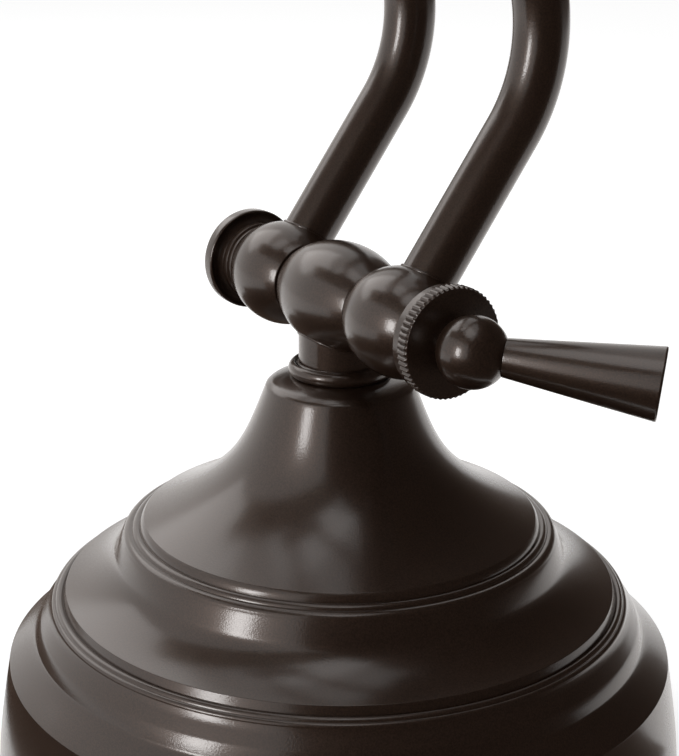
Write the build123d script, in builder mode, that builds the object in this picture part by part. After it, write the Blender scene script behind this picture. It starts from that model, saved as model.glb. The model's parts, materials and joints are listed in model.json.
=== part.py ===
from build123d import *
import os
from math import asin, cos, radians, sin, tan

# Piano lamp: a stepped round base, a lever-locked knuckle, twin bent arms and a trough shade.
#
# Frame: the origin is on the table under the middle of the base, +Z is up, and the two pivot axes
# run along X. The clamp lever is on the +X side. The arms lean back towards +Y, then bend forward,
# so the shade hangs over -Y, where the music stands.

# --------------------------------------------------------------------- driving dimensions, mm
INCH = 25.4

PIVOT_Z = 120.0  # lower pivot axis above the table
BASE_TOP_EDGE_R = 81.0  # edge between the top of the base and its wall
BASE_FOOT_R = 84.9

TUBE_R = INCH / 4  # half-inch arm tubes
TUBE_WALL = 1.0
ARM_LEAN = 35.54  # degrees back from upright, at the lower knuckle
ARM_STRAIGHT = 49.0  # pivot axis to the start of the bend
ARM_BEND_R = 1.5 * INCH
ARM_FORWARD = 50.0  # degrees forward from upright, after the bend
ARM_REACH = 138.0  # end of the bend to the upper pivot axis

OUTER_BARREL = (12.6, 9.6)  # radius of the outer beads at their fattest and at their shoulders
CENTRE_BARREL = (12.9, 9.3)
BEAD_SEAM_R = 8.9
CENTRE_HALF = 14.7  # half the centre bead's width
BEAD_WIDTH = 21.3
BEAD_EDGE = 0.6  # width of the rounded edge at each seam

BOLT_R = 4.0
FIT = 0.05  # radial clearance of turned fits, and the gap between faces that turn
WASHER_T = 0.5
WASHER_R = 8.3
CHAMBER_R = 7.2  # ring-shaped wire chamber in the faces that meet
WEB_HALF = 4.5  # half the web that carries the bolt inside a bead
TUBE_END = 7.0  # a tube's end stops this far from the pivot axis

END_CAP_R = 12.55
END_CAP_T = 3.9
END_RING_T = 4.95
END_RING_R = 9.9

KNURL_R = 12.5
KNURL_BAND_R = 12.0  # plain band behind the knurl
KNURL_LENGTH = 8.2
KNURL_CONE = 2.9  # the ring widens to the band over this length
KNURL_BAND = 4.8  # length of cone and band
KNURL_TEETH = 58
KNURL_DEPTH = 0.55
LOCK_KNOB_R = 11.0
LOCK_KNOB_LENGTH = 10.0
LOCK_KNOB_TEETH = 44

BALL_X = 52.05
BALL_R = 7.95
BALL_NECK_R = 5.0
HANDLE_DIRECTION = (0.705, 0.703, -0.10)
HANDLE_START = 6.7  # distances from the middle of the ball
HANDLE_END = 39.7
HANDLE_START_R = 4.15
HANDLE_END_R = 7.95
HANDLE_EDGE = 0.7
STUD_R = 2.5  # the handle screws into the ball

STEM_R = 10.0
STEM_TOP = 8.0  # distances from the pivot axis
STEM_FOOT = 16.3
STEM_FOOT_R = 10.45
PIPE_R = 5.0
PIPE_BORE_R = 3.3
PIPE_TOP = 6.0
SEAT = 18.9  # drop of the base shell's seat below the pivot axis
SEAT_THICKNESS = 7.5
CHECK_RING_R = 12.4

SHADE_LENGTH = 14 * INCH
SHADE_R = 1.75 * INCH
SHADE_SKIRT = 23.0
SHEET = 1.0
HEM_R = 1.3
SHADE_BACK = 22.0  # upper pivot axis to the back of the shade
SHADE_RISE = 11.0  # middle of the half round above the upper pivot axis
SHADE_END_T = 1.5
SHADE_END_LIP = 1.15  # the end plates stand this far over the shell
SHADE_PANEL_INSET = 9.0
SHADE_PANEL_T = 1.2

STRAP_T = 1.6
STRAP_X = -112.0  # inner face of the strap's forward leg
STRAP_END_X = 12.0
STRAP_HALF = 7.0  # half the strap's width
STRAP_EYE_R = 11.0
HOLDER_LENGTH = 42.0
HOLDER_R = 17.0
HOLDER_RIM_R = 17.8
HOLDER_BORE_R = 13.5
CONTACT_R = 9.0
CAP_R = 13.1  # screw cap of the bulb
CAP_LENGTH = 25.0
BULB_R = 16.0
BULB_REACH = 132.0  # holder's mouth to the tip of the bulb
BULB_RISE = 2.0  # bulb axis above the middle of the half round
GLASS = 0.8
GLASS_NECK_R = 12.4

COLLAR_R = 10.4
COLLAR_T = 3.5
SWITCH_DEPTH = 16.0
SWITCH_BUSH_R = 5.0
SWITCH_NUT_R = 7.5
SWITCH_NUT_T = 2.2
SPINDLE_R = 3.0
SPINDLE_SINK = 7.9  # the spindle reaches this far into the switch
KNOB_R = 8.0
KNOB_NECK_R = 6.0
KNOB_LENGTH = 12.0
KNOB_TEETH = 32

WEIGHT_R = 76.0
WEIGHT_T = 20.0
WEIGHT_RECESS_R = 16.0  # recess under the weight, for the pipe's nut
WEIGHT_RECESS = 14.0
FELT_T = 1.6
PLATE_T = 1.2
FELT_R = 82.0
PLATE_R = 83.0
PLATE_HOLE_R = 8.0
SHELL_LIFT = 0.8  # the shell's foot above the table

SCREW_CIRCLE_R = 60.0  # three screws hold the plate
SCREW_COUNT = 3
SCREW_R = 1.95
SCREW_LENGTH = 12.0
SCREW_HEAD_R = 3.8
SCREW_HEAD_T = 1.1

PIPE_BOTTOM_Z = 6.0
PIPE_NUT_R = 8.5  # half the width across its flats
PIPE_NUT_T = 5.5
LOCK_WASHER_R = 10.0
LOCK_WASHER_T = 1.5
SPACER_R = 9.0
SMALL_NUT_R = 7.0  # half the width across the flats of the nuts in the shade
SMALL_NUT_T = 4.5

INLET_Z = 12.0
INLET_R = 2.8
INLET_FACE_Y = 83.0  # flat seat of the cord bushing
INLET_HOLE_R = 4.6
INLET_FACE_R = 6.4
BUSHING_HEAD_R = 6.2
BUSHING_HEAD_T = 3.0

# --------------------------------------------------------------------- places worked out from them
LEAN = radians(ARM_LEAN)
FORWARD = radians(ARM_FORWARD)
ARM_UP = (sin(LEAN), cos(LEAN))  # (y, z) along the lower straight
BEND_START = (ARM_STRAIGHT * ARM_UP[0], ARM_STRAIGHT * ARM_UP[1])
BEND_MIDDLE = (BEND_START[0] - ARM_BEND_R * cos(LEAN), BEND_START[1] + ARM_BEND_R * sin(LEAN))
BEND_TOP = (BEND_MIDDLE[0] + ARM_BEND_R, BEND_MIDDLE[1])
BEND_END = (BEND_MIDDLE[0] + ARM_BEND_R * cos(FORWARD), BEND_MIDDLE[1] + ARM_BEND_R * sin(FORWARD))
UPPER_Y = BEND_END[0] - ARM_REACH * sin(FORWARD)
UPPER_Z = PIVOT_Z + BEND_END[1] + ARM_REACH * cos(FORWARD)
ARM_DOWN = (sin(FORWARD), -cos(FORWARD))  # (y, z) from the upper pivot back along the tube

LOWER_PIVOT = (0.0, PIVOT_Z)
UPPER_PIVOT = (UPPER_Y, UPPER_Z)
DOWN = (0.0, -1.0)
AHEAD = (-1.0, 0.0)

OUTER_NEAR = CENTRE_HALF + WASHER_T + FIT
OUTER_MIDDLE = OUTER_NEAR + BEAD_WIDTH / 2
OUTER_FAR = OUTER_NEAR + BEAD_WIDTH
END_RING_X = OUTER_FAR + FIT
END_CAP_X = END_RING_X + END_RING_T
KNURL_X = OUTER_FAR + FIT + WASHER_T
KNURL_END_X = KNURL_X + KNURL_LENGTH
LOCK_END_X = KNURL_X + LOCK_KNOB_LENGTH

SHADE_Y = UPPER_Y - SHADE_BACK - SHADE_R
SHADE_Z = UPPER_Z + SHADE_RISE
SHADE_HALF = SHADE_LENGTH / 2 - SHADE_END_T
BACK_WALL_Y = SHADE_Y + SHADE_R - SHEET
BULB_Z = SHADE_Z + BULB_RISE
FOOT_DROP = PIVOT_Z - SHELL_LIFT
WEIGHT_Z = FELT_T + PLATE_T
WEB_Z = WEIGHT_Z + WEIGHT_RECESS
PIPE_FIT_R = PIPE_R + FIT
BOLT_FIT_R = BOLT_R + FIT

os.makedirs("parts", exist_ok=True)


# --------------------------------------------------------------------- helpers
def save(piece, label):
    """Label a finished piece and write it."""
    piece.part.label = label
    export_step(piece.part, f"parts/{label}.step")


def drop(radius, below):
    """Point of the base's outline, given by its radius and its drop below the lower pivot axis."""
    return (radius, PIVOT_Z - below)


def flare(start, start_slope, start_pull, end, end_slope, end_pull):
    """Smooth outline curve; a slope is in degrees below level, a pull is how long it holds."""
    a, b = radians(start_slope), radians(end_slope)
    leave = (start[0] + start_pull * cos(a), start[1] - start_pull * sin(a))
    arrive = (end[0] - end_pull * cos(b), end[1] + end_pull * sin(b))
    return Bezier(start, leave, arrive, end)


def moulding(start, end, rise):
    """Round moulding from start to end, standing proud of the straight line by rise."""
    run_x, run_y = end[0] - start[0], end[1] - start[1]
    length = (run_x**2 + run_y**2) ** 0.5
    crest_x = (start[0] + end[0]) / 2 - rise * run_y / length
    crest_y = (start[1] + end[1]) / 2 + rise * run_x / length
    return ThreePointArc(start, (crest_x, crest_y), end)


def dome(edge, tip_x):
    """Spherical end from an edge point (x, radius) to the tip on the axis."""
    edge_x, radius = edge
    rise = tip_x - edge_x
    sphere_r = (radius**2 + rise**2) / (2 * abs(rise))
    sink = sphere_r - (sphere_r**2 - radius**2 / 4) ** 0.5
    middle_x = tip_x - sink if rise > 0 else tip_x + sink
    return ThreePointArc(edge, (middle_x, radius / 2), (tip_x, 0))


def lathe_plane(pivot):
    """Plane through a pivot axis: local x runs along the axis, local y is the radius."""
    return Plane(origin=(0, *pivot), x_dir=(1, 0, 0), z_dir=(0, 0, 1))


def lathe_axis(pivot):
    """The pivot axis itself."""
    return Axis((0, *pivot), (1, 0, 0))


def radial_plane(pivot, direction, distance, x=0.0):
    """Plane square to the radial direction (y, z) of a pivot, at a distance from its axis."""
    origin = (x, pivot[0] + distance * direction[0], pivot[1] + distance * direction[1])
    return Plane(origin=origin, x_dir=(1, 0, 0), z_dir=(0, *direction))


def inlet_plane(y):
    """Plane square to the cord's way in, facing out at the back of the base."""
    return Plane(origin=(0, y, INLET_Z), x_dir=(1, 0, 0), z_dir=(0, 1, 0))


def cross_plane(pivot, x, side=1):
    """Plane square to the pivot axis at x, facing +X or -X, with local y upright."""
    return Plane(origin=(x, *pivot), x_dir=(0, side, 0), z_dir=(side, 0, 0))


# --------------------------------------------------------------------- base
def shell_outside():
    """Outside of the base, from the seat of the check ring down to the foot."""
    seat_edge = drop(12.2, SEAT)
    rim = drop(16.4, 20.3)
    neck = drop(17.84, 21.6)
    ring_1 = drop(47.49, 53.91)
    groove_1 = drop(48.6, 55.95)
    bead_1 = drop(50.43, 56.8)
    shoulder_1 = drop(52.62, 57.95)
    cove_1 = drop(54.5, 62.6)
    ring_2 = drop(66.8, 70.73)
    groove_2 = drop(67.55, 72.9)
    bead_2 = drop(69.4, 73.3)
    shoulder_2 = drop(70.4, 74.2)
    shelf = drop(71.2, 75.6)
    cove_2 = drop(72.95, 78.05)
    swell = drop(74.05, 81.4)
    top_edge = drop(BASE_TOP_EDGE_R, 88.0)
    wall_end = drop(84.76, 114.6)
    wall_foot = drop(BASE_FOOT_R, 118.4)
    foot = drop(84.3, FOOT_DROP)

    flare(seat_edge, 12, 1.2, rim, 38, 1.4)
    flare(rim, 38, 0.6, neck, 68.4, 0.6)
    flare(neck, 68.4, 15.4, ring_1, 24.1, 24.2)
    moulding(ring_1, groove_1, 0.2)
    moulding(groove_1, bead_1, 0.5)
    moulding(bead_1, shoulder_1, 0.5)
    flare(shoulder_1, 55, 0.6, cove_1, 71, 2.5)
    flare(cove_1, 71, 2.6, ring_2, 17, 7.5)
    Line(ring_2, groove_2)
    moulding(groove_2, bead_2, 0.6)
    moulding(bead_2, shoulder_2, 0.3)
    flare(shoulder_2, 76, 0.3, shelf, 54, 0.5)
    flare(shelf, 54, 0.7, cove_2, 54, 0.5)
    flare(cove_2, 54, 0.4, swell, 71, 1.2)
    flare(swell, 71, 1.0, top_edge, 42, 3.0)
    flare(top_edge, 79.8, 8.0, wall_end, 88, 8.0)
    Line(wall_end, wall_foot)
    ThreePointArc(wall_foot, drop(84.75, 118.95), foot)
    return seat_edge, foot


def shell_inside(seat_edge, foot):
    """Inside of the base, from the foot back up to the seat, a wall's thickness in."""
    boss = SEAT + SEAT_THICKNESS
    lip = drop(83.2, FOOT_DROP)
    bell_foot = drop(45.6, 56.9)
    bell_top = drop(14.4, boss + 1.2)
    Polyline(
        foot,
        lip,
        drop(82.9, 113.0),
        drop(78.7, 90.4),
        drop(75.6, 86.4),
        drop(70.6, 80.6),
        drop(68.4, 76.4),
        drop(64.9, 72.9),
        drop(57.0, 70.3),
        drop(52.6, 65.6),
        drop(50.0, 60.4),
        bell_foot,
    )
    Bezier(bell_foot, drop(28.4, 51.6), drop(17.7, 37.0), bell_top)
    Polyline(bell_top, drop(13.4, boss), drop(PIPE_FIT_R, boss))
    Polyline(drop(PIPE_FIT_R, boss), drop(PIPE_FIT_R, SEAT), seat_edge)


with BuildPart() as base_shell:
    with BuildSketch(Plane.XZ):
        with BuildLine():
            shell_ends = shell_outside()
            shell_inside(*shell_ends)
        make_face()
    revolve(axis=Axis.Z)
    # flat seat and hole for the cord bushing, at the back
    with BuildSketch(inlet_plane(INLET_FACE_Y)):
        Circle(INLET_FACE_R)
    extrude(amount=8.0, mode=Mode.SUBTRACT)
    with BuildSketch(inlet_plane(INLET_FACE_Y - 5.0)):
        Circle(INLET_HOLE_R)
    extrude(amount=8.0, mode=Mode.SUBTRACT)
save(base_shell, "base_shell")

with BuildPart() as cord_bushing:
    with BuildSketch(inlet_plane(INLET_FACE_Y - 3.0)):
        Circle(INLET_HOLE_R - FIT)
    extrude(amount=3.0)
    with BuildSketch(inlet_plane(INLET_FACE_Y)):
        Circle(BUSHING_HEAD_R)
    extrude(amount=BUSHING_HEAD_T)
    fillet(cord_bushing.faces().sort_by(Axis.Y)[-1].edges(), 0.9)
    with BuildSketch(inlet_plane(INLET_FACE_Y - 4.0)):
        Circle(INLET_R)
    extrude(amount=8.0, mode=Mode.SUBTRACT)
save(cord_bushing, "cord_bushing")

with BuildPart() as base_weight:
    with BuildSketch(Plane.XY.offset(WEIGHT_Z)):
        Circle(WEIGHT_R)
    extrude(amount=WEIGHT_T)
    fillet(base_weight.edges().group_by(Axis.Z)[-1], 3.0)
    with BuildSketch(Plane.XY.offset(WEIGHT_Z)):
        Circle(WEIGHT_RECESS_R)
    extrude(amount=WEIGHT_RECESS, mode=Mode.SUBTRACT)
    with BuildSketch(Plane.XY.offset(WEIGHT_Z)):
        Circle(PIPE_FIT_R)
        with PolarLocations(SCREW_CIRCLE_R, SCREW_COUNT, start_angle=30):
            Circle(SCREW_R + FIT)
    extrude(amount=WEIGHT_T, mode=Mode.SUBTRACT)
save(base_weight, "base_weight")

with BuildPart() as base_plate:
    with BuildSketch(Plane.XY.offset(FELT_T)):
        Circle(PLATE_R)
        Circle(PLATE_HOLE_R, mode=Mode.SUBTRACT)
        with PolarLocations(SCREW_CIRCLE_R, SCREW_COUNT, start_angle=30):
            Circle(SCREW_R + 0.25, mode=Mode.SUBTRACT)
    extrude(amount=PLATE_T)
save(base_plate, "base_plate")

with BuildPart() as felt_pad:
    with BuildSketch(Plane.XY):
        Circle(FELT_R)
    extrude(amount=FELT_T)
    with BuildSketch(Plane.XY.offset(FELT_T)):
        with PolarLocations(SCREW_CIRCLE_R, SCREW_COUNT, start_angle=30):
            Circle(SCREW_HEAD_R + 0.4)
    extrude(amount=-SCREW_HEAD_T - 0.1, mode=Mode.SUBTRACT)
save(felt_pad, "felt_pad")

with BuildPart() as plate_screws:
    with BuildSketch(Plane.XY.offset(FELT_T - SCREW_HEAD_T)):
        with PolarLocations(SCREW_CIRCLE_R, SCREW_COUNT, start_angle=30):
            Circle(SCREW_HEAD_R)
    extrude(amount=SCREW_HEAD_T)
    with BuildSketch(Plane.XY.offset(FELT_T)):
        with PolarLocations(SCREW_CIRCLE_R, SCREW_COUNT, start_angle=30):
            Circle(SCREW_R)
    extrude(amount=SCREW_LENGTH)
save(plate_screws, "plate_screws")

with BuildPart() as centre_pipe:
    with BuildSketch(Plane.XY.offset(PIPE_BOTTOM_Z)):
        Circle(PIPE_R)
        Circle(PIPE_BORE_R, mode=Mode.SUBTRACT)
    extrude(amount=PIVOT_Z - PIPE_TOP - PIPE_BOTTOM_Z)
save(centre_pipe, "centre_pipe")

with BuildPart() as lock_washer:
    with BuildSketch(Plane.XY.offset(WEB_Z - LOCK_WASHER_T)):
        Circle(LOCK_WASHER_R)
        Circle(PIPE_FIT_R, mode=Mode.SUBTRACT)
    extrude(amount=LOCK_WASHER_T)
save(lock_washer, "lock_washer")

with BuildPart() as pipe_nut:
    with BuildSketch(Plane.XY.offset(WEB_Z - LOCK_WASHER_T - PIPE_NUT_T)):
        RegularPolygon(PIPE_NUT_R, 6, major_radius=False)
        Circle(PIPE_FIT_R, mode=Mode.SUBTRACT)
    extrude(amount=PIPE_NUT_T)
save(pipe_nut, "pipe_nut")

with BuildPart() as spacer_tube:
    with BuildSketch(Plane.XY.offset(WEIGHT_Z + WEIGHT_T)):
        Circle(SPACER_R)
        Circle(PIPE_R + 0.3, mode=Mode.SUBTRACT)
    extrude(amount=PIVOT_Z - SEAT - SEAT_THICKNESS - WEIGHT_Z - WEIGHT_T)
save(spacer_tube, "spacer_tube")

with BuildPart() as check_ring:
    with BuildSketch(Plane.XZ):
        with BuildLine():
            ring_foot = drop(11.5, SEAT)
            ring_side = drop(CHECK_RING_R, SEAT - 1.3)
            ring_crown = drop(11.25, STEM_FOOT - 0.7)
            ring_lip = drop(11.0, STEM_FOOT - 0.65)
            ring_floor = drop(10.6, STEM_FOOT)
            ThreePointArc(ring_foot, drop(12.1, SEAT - 0.45), ring_side)
            ThreePointArc(ring_side, drop(12.2, SEAT - 2.5), ring_crown)
            Polyline(
                ring_crown,
                ring_lip,
                ring_floor,
                drop(PIPE_FIT_R, STEM_FOOT),
                drop(PIPE_FIT_R, SEAT),
                ring_foot,
            )
        make_face()
    revolve(axis=Axis.Z)
save(check_ring, "check_ring")

with BuildPart() as stem:
    with BuildSketch(Plane.XZ):
        with BuildLine():
            foot_top = drop(STEM_R, STEM_FOOT - 0.65)
            foot_side = drop(STEM_FOOT_R, STEM_FOOT - 0.15)
            Polyline(foot_top, drop(STEM_R, STEM_TOP), drop(PIPE_FIT_R, STEM_TOP))
            Polyline(
                drop(PIPE_FIT_R, STEM_TOP),
                drop(PIPE_FIT_R, STEM_FOOT),
                drop(STEM_FOOT_R, STEM_FOOT),
                foot_side,
            )
            ThreePointArc(foot_side, drop(10.3, STEM_FOOT - 0.45), foot_top)
        make_face()
    revolve(axis=Axis.Z)
save(stem, "stem")


# --------------------------------------------------------------------- the two knuckles
def bead_outline(near, far, barrel):
    """Barrel outline in (x, radius): a flat arc between two rounded edges, over the bolt bore."""
    crest, shoulder = barrel
    left, right = (near + BEAD_EDGE, shoulder), (far - BEAD_EDGE, shoulder)
    half, rise = (right[0] - left[0]) / 2, crest - shoulder
    arc_r = (half**2 + rise**2) / (2 * rise)
    edge_r = shoulder - BEAD_EDGE * tan(asin(half / arc_r))  # the arc's end tangent meets the face here
    Polyline((far, BOLT_FIT_R), (near, BOLT_FIT_R), (near, BEAD_SEAM_R))
    Bezier((near, BEAD_SEAM_R), (near, edge_r), left)
    ThreePointArc(left, ((near + far) / 2, crest), right)
    Bezier(right, (far, edge_r), (far, BEAD_SEAM_R))
    Line((far, BEAD_SEAM_R), (far, BOLT_FIT_R))


def make_bead(label, pivot, middle, width, barrel, post, chambers):
    """One bead: post is (direction, radius, start) of its socket, chambers are its wired faces."""
    direction, post_r, post_start = post
    near, far = middle - width / 2, middle + width / 2
    chamber_depth = width / 2 - WEB_HALF
    with BuildPart() as bead:
        with BuildSketch(lathe_plane(pivot)):
            with BuildLine():
                bead_outline(near, far, barrel)
            make_face()
        revolve(axis=lathe_axis(pivot))
        for side in chambers:
            with BuildSketch(cross_plane(pivot, middle + side * width / 2, side)):
                Circle(CHAMBER_R)
            extrude(amount=-chamber_depth, mode=Mode.SUBTRACT)
        with BuildSketch(radial_plane(pivot, direction, 0, middle)):
            Circle(PIPE_FIT_R)
        extrude(amount=post_start, mode=Mode.SUBTRACT)
        with BuildSketch(radial_plane(pivot, direction, post_start, middle)):
            Circle(post_r)
        extrude(amount=2 * barrel[0], mode=Mode.SUBTRACT)
    save(bead, label)


def make_washers(label, pivot, starts):
    """Thin friction washers along a pivot axis, one starting at each x."""
    with BuildPart() as washers:
        for x in starts:
            with BuildSketch(cross_plane(pivot, x)):
                Circle(WASHER_R)
                Circle(CHAMBER_R + 0.1, mode=Mode.SUBTRACT)
            extrude(amount=WASHER_T)
    save(washers, label)


def make_thrust_washer(label, pivot):
    """Plain washer between the right bead and what clamps it."""
    with BuildPart() as washer:
        with BuildSketch(cross_plane(pivot, OUTER_FAR)):
            Circle(WASHER_R)
            Circle(BOLT_FIT_R, mode=Mode.SUBTRACT)
        extrude(amount=WASHER_T)
    save(washer, label)


def make_end_ring(label, pivot):
    """Stepped ring between the left bead and the end cap, with a hollow to the cap."""
    near, far = -END_RING_X, -END_CAP_X
    with BuildPart() as ring:
        with BuildSketch(lathe_plane(pivot)):
            with BuildLine():
                crown = (near - 1.7, END_RING_R)
                round_start = (near - 3.1, END_RING_R)
                round_end = (near - 4.2, 8.9)
                Polyline((near, BOLT_FIT_R), (near, 9.1), (near - 0.3, 9.5), (near - 1.0, 9.5))
                Polyline((near - 1.0, 9.5), (near - 1.2, 9.2), (near - 1.4, 9.5), crown, round_start)
                ThreePointArc(round_start, (near - 3.9, 9.6), round_end)
                Polyline(round_end, (far, 8.6), (far, BOLT_FIT_R), (near, BOLT_FIT_R))
            make_face()
        revolve(axis=lathe_axis(pivot))
    save(ring, label)


def make_end_cap(label, pivot):
    """Flanged cap that closes the left end and holds the head of the bolt."""
    near, far = -END_CAP_X, -END_CAP_X - END_CAP_T
    blind = near - 2.6
    with BuildPart() as cap:
        with BuildSketch(lathe_plane(pivot)):
            with BuildLine():
                Line((near, BOLT_FIT_R), (near, 8.6))
                ThreePointArc((near, 8.6), (near - 0.9, 10.6), (near - 0.2, 12.1))
                ThreePointArc((near - 0.2, 12.1), (near - 0.5, 12.45), (near - 0.9, END_CAP_R))
                Line((near - 0.9, END_CAP_R), (far + 0.8, END_CAP_R))
                ThreePointArc((far + 0.8, END_CAP_R), (far + 0.25, 12.3), (far, 11.7))
                Line((far, 11.7), (far, 10.2))
                dome((far, 10.2), far - 0.6)
                Polyline((far - 0.6, 0), (blind, 0), (blind, BOLT_FIT_R), (near, BOLT_FIT_R))
            make_face()
        revolve(axis=lathe_axis(pivot))
    save(cap, label)


def make_bolt(label, pivot, end_x):
    """Pivot bolt from the end cap to end_x, chamfered at both ends."""
    start_x = -END_CAP_X - 2.5
    with BuildPart() as bolt:
        with BuildSketch(cross_plane(pivot, start_x)):
            Circle(BOLT_R)
        extrude(amount=end_x - start_x)
        chamfer(bolt.faces().sort_by(Axis.X)[-1].edges(), 0.6)
    save(bolt, label)


KNUCKLES = (
    ("lower", LOWER_PIVOT, ARM_UP, (DOWN, STEM_R + FIT, STEM_TOP), BALL_X - 2.0),
    ("upper", UPPER_PIVOT, ARM_DOWN, (AHEAD, STEM_R + FIT, STEM_TOP), LOCK_END_X - 2.0),
)

for place, pivot, arm_direction, centre_post, bolt_end in KNUCKLES:
    make_bead(f"{place}_centre_bead", pivot, 0, 2 * CENTRE_HALF, CENTRE_BARREL, centre_post, (-1, 1))
    for hand, side in (("left", -1), ("right", 1)):
        tube_post = (arm_direction, TUBE_R + FIT, TUBE_END)
        name = f"{place}_{hand}_bead"
        make_bead(name, pivot, side * OUTER_MIDDLE, BEAD_WIDTH, OUTER_BARREL, tube_post, (-side,))
    make_washers(f"{place}_seam_washers", pivot, (CENTRE_HALF, -CENTRE_HALF - WASHER_T))
    make_thrust_washer(f"{place}_thrust_washer", pivot)
    make_end_ring(f"{place}_end_ring", pivot)
    make_end_cap(f"{place}_end_cap", pivot)
    make_bolt(f"{place}_pivot_bolt", pivot, bolt_end)


# --------------------------------------------------------------------- arms
def make_arm(label, x):
    """Bent tube from the lower bead to the upper one, in the plane x."""
    start = (TUBE_END * ARM_UP[0], TUBE_END * ARM_UP[1])
    upper = (UPPER_Y, UPPER_Z - PIVOT_Z)
    end = (upper[0] + TUBE_END * ARM_DOWN[0], upper[1] + TUBE_END * ARM_DOWN[1])
    with BuildPart() as arm:
        with BuildLine(Plane(origin=(x, 0, PIVOT_Z), x_dir=(0, 1, 0), z_dir=(1, 0, 0))):
            Line(start, BEND_START)
            ThreePointArc(BEND_START, BEND_TOP, BEND_END)
            Line(BEND_END, end)
        with BuildSketch(radial_plane(LOWER_PIVOT, ARM_UP, TUBE_END, x)):
            Circle(TUBE_R)
            Circle(TUBE_R - TUBE_WALL, mode=Mode.SUBTRACT)
        sweep()
    save(arm, label)


make_arm("left_arm", -OUTER_MIDDLE)
make_arm("right_arm", OUTER_MIDDLE)


# --------------------------------------------------------------------- clamps of the knuckles
def cut_knurl(pivot, x, length, radius, teeth, depth):
    """Cut V grooves along X round a rim; called inside the rim's own part block."""
    with BuildSketch(cross_plane(pivot, x)) as grooves:
        with PolarLocations(radius + depth * 0.25, teeth):
            RegularPolygon(depth * 1.25, 4)
    extrude(grooves.sketch, amount=length, mode=Mode.SUBTRACT)


with BuildPart() as knurled_ring:
    with BuildSketch(lathe_plane(LOWER_PIVOT)):
        with BuildLine():
            Polyline(
                (KNURL_X, BOLT_FIT_R),
                (KNURL_X, 9.2),
                (KNURL_X + 0.3, 9.6),
                (KNURL_X + KNURL_CONE - 0.4, KNURL_BAND_R - 0.3),
                (KNURL_X + KNURL_CONE, KNURL_BAND_R),
                (KNURL_X + KNURL_BAND, KNURL_BAND_R),
                (KNURL_X + KNURL_BAND + 0.3, KNURL_R),
                (KNURL_END_X - 0.5, KNURL_R),
                (KNURL_END_X, KNURL_R - 0.5),
                (KNURL_END_X, BOLT_FIT_R),
                close=True,
            )
        make_face()
    revolve(axis=lathe_axis(LOWER_PIVOT))
    cut_knurl(LOWER_PIVOT, KNURL_X + KNURL_BAND, KNURL_LENGTH, KNURL_R, KNURL_TEETH, KNURL_DEPTH)
save(knurled_ring, "knurled_ring")

BALL = (BALL_X, 0, PIVOT_Z)
NECK_X = KNURL_END_X + FIT

with BuildPart() as ball_hub:
    with Locations(BALL):
        Sphere(BALL_R)
    with BuildSketch(cross_plane(LOWER_PIVOT, NECK_X)):
        Circle(BALL_NECK_R)
    extrude(amount=3.0)
    with BuildSketch(cross_plane(LOWER_PIVOT, NECK_X)):
        Circle(3 * BALL_R)
    extrude(amount=-3.0, mode=Mode.SUBTRACT)
    with BuildSketch(cross_plane(LOWER_PIVOT, NECK_X)):
        Circle(BOLT_FIT_R)
    extrude(amount=BALL_X - 1.9 - NECK_X, mode=Mode.SUBTRACT)
    # flat and threaded hole for the handle
    with BuildSketch(Plane(origin=BALL, z_dir=HANDLE_DIRECTION).offset(HANDLE_START)):
        Circle(BALL_R)
    extrude(amount=3.0, mode=Mode.SUBTRACT)
    with BuildSketch(Plane(origin=BALL, z_dir=HANDLE_DIRECTION).offset(HANDLE_START)):
        Circle(STUD_R + FIT)
    extrude(amount=-4.0, mode=Mode.SUBTRACT)
save(ball_hub, "ball_hub")

with BuildPart() as lever_handle:
    with BuildSketch(Plane(origin=BALL, z_dir=HANDLE_DIRECTION).offset(HANDLE_START)):
        Circle(HANDLE_START_R)
    with BuildSketch(Plane(origin=BALL, z_dir=HANDLE_DIRECTION).offset(HANDLE_END)):
        Circle(HANDLE_END_R)
    loft()
    fillet(lever_handle.faces().sort_by(Axis.Y)[-1].edges(), HANDLE_EDGE)
    with BuildSketch(Plane(origin=BALL, z_dir=HANDLE_DIRECTION).offset(HANDLE_START)):
        Circle(STUD_R)
    extrude(amount=-3.8)
save(lever_handle, "lever_handle")

with BuildPart() as lock_knob:
    with BuildSketch(lathe_plane(UPPER_PIVOT)):
        with BuildLine():
            skirt = (KNURL_X + 1.2, LOCK_KNOB_R)
            crown = (LOCK_END_X - 2.2, LOCK_KNOB_R)
            well = LOCK_END_X - 1.9
            Polyline((KNURL_X, BOLT_FIT_R), (KNURL_X, 9.4), (KNURL_X + 1.2, 9.4), skirt, crown)
            dome(crown, LOCK_END_X)
            Polyline((LOCK_END_X, 0), (well, 0), (well, BOLT_FIT_R), (KNURL_X, BOLT_FIT_R))
        make_face()
    revolve(axis=lathe_axis(UPPER_PIVOT))
    cut_knurl(UPPER_PIVOT, KNURL_X + 1.2, LOCK_KNOB_LENGTH, LOCK_KNOB_R, LOCK_KNOB_TEETH, KNURL_DEPTH)
save(lock_knob, "lock_knob")


# --------------------------------------------------------------------- shade mount
COLLAR_START = SHADE_BACK - COLLAR_T

with BuildPart() as shade_stem:
    with BuildSketch(radial_plane(UPPER_PIVOT, AHEAD, STEM_TOP)):
        Circle(STEM_R)
        Circle(PIPE_FIT_R, mode=Mode.SUBTRACT)
    extrude(amount=COLLAR_START - STEM_TOP)
save(shade_stem, "shade_stem")

with BuildPart() as shade_collar:
    with BuildSketch(radial_plane(UPPER_PIVOT, AHEAD, COLLAR_START)):
        Circle(COLLAR_R)
        Circle(PIPE_FIT_R, mode=Mode.SUBTRACT)
    extrude(amount=COLLAR_T)
    fillet(shade_collar.faces().sort_by(Axis.Y)[-1].edges().sort_by(SortBy.RADIUS)[-1], 1.6)
save(shade_collar, "shade_collar")

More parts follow.
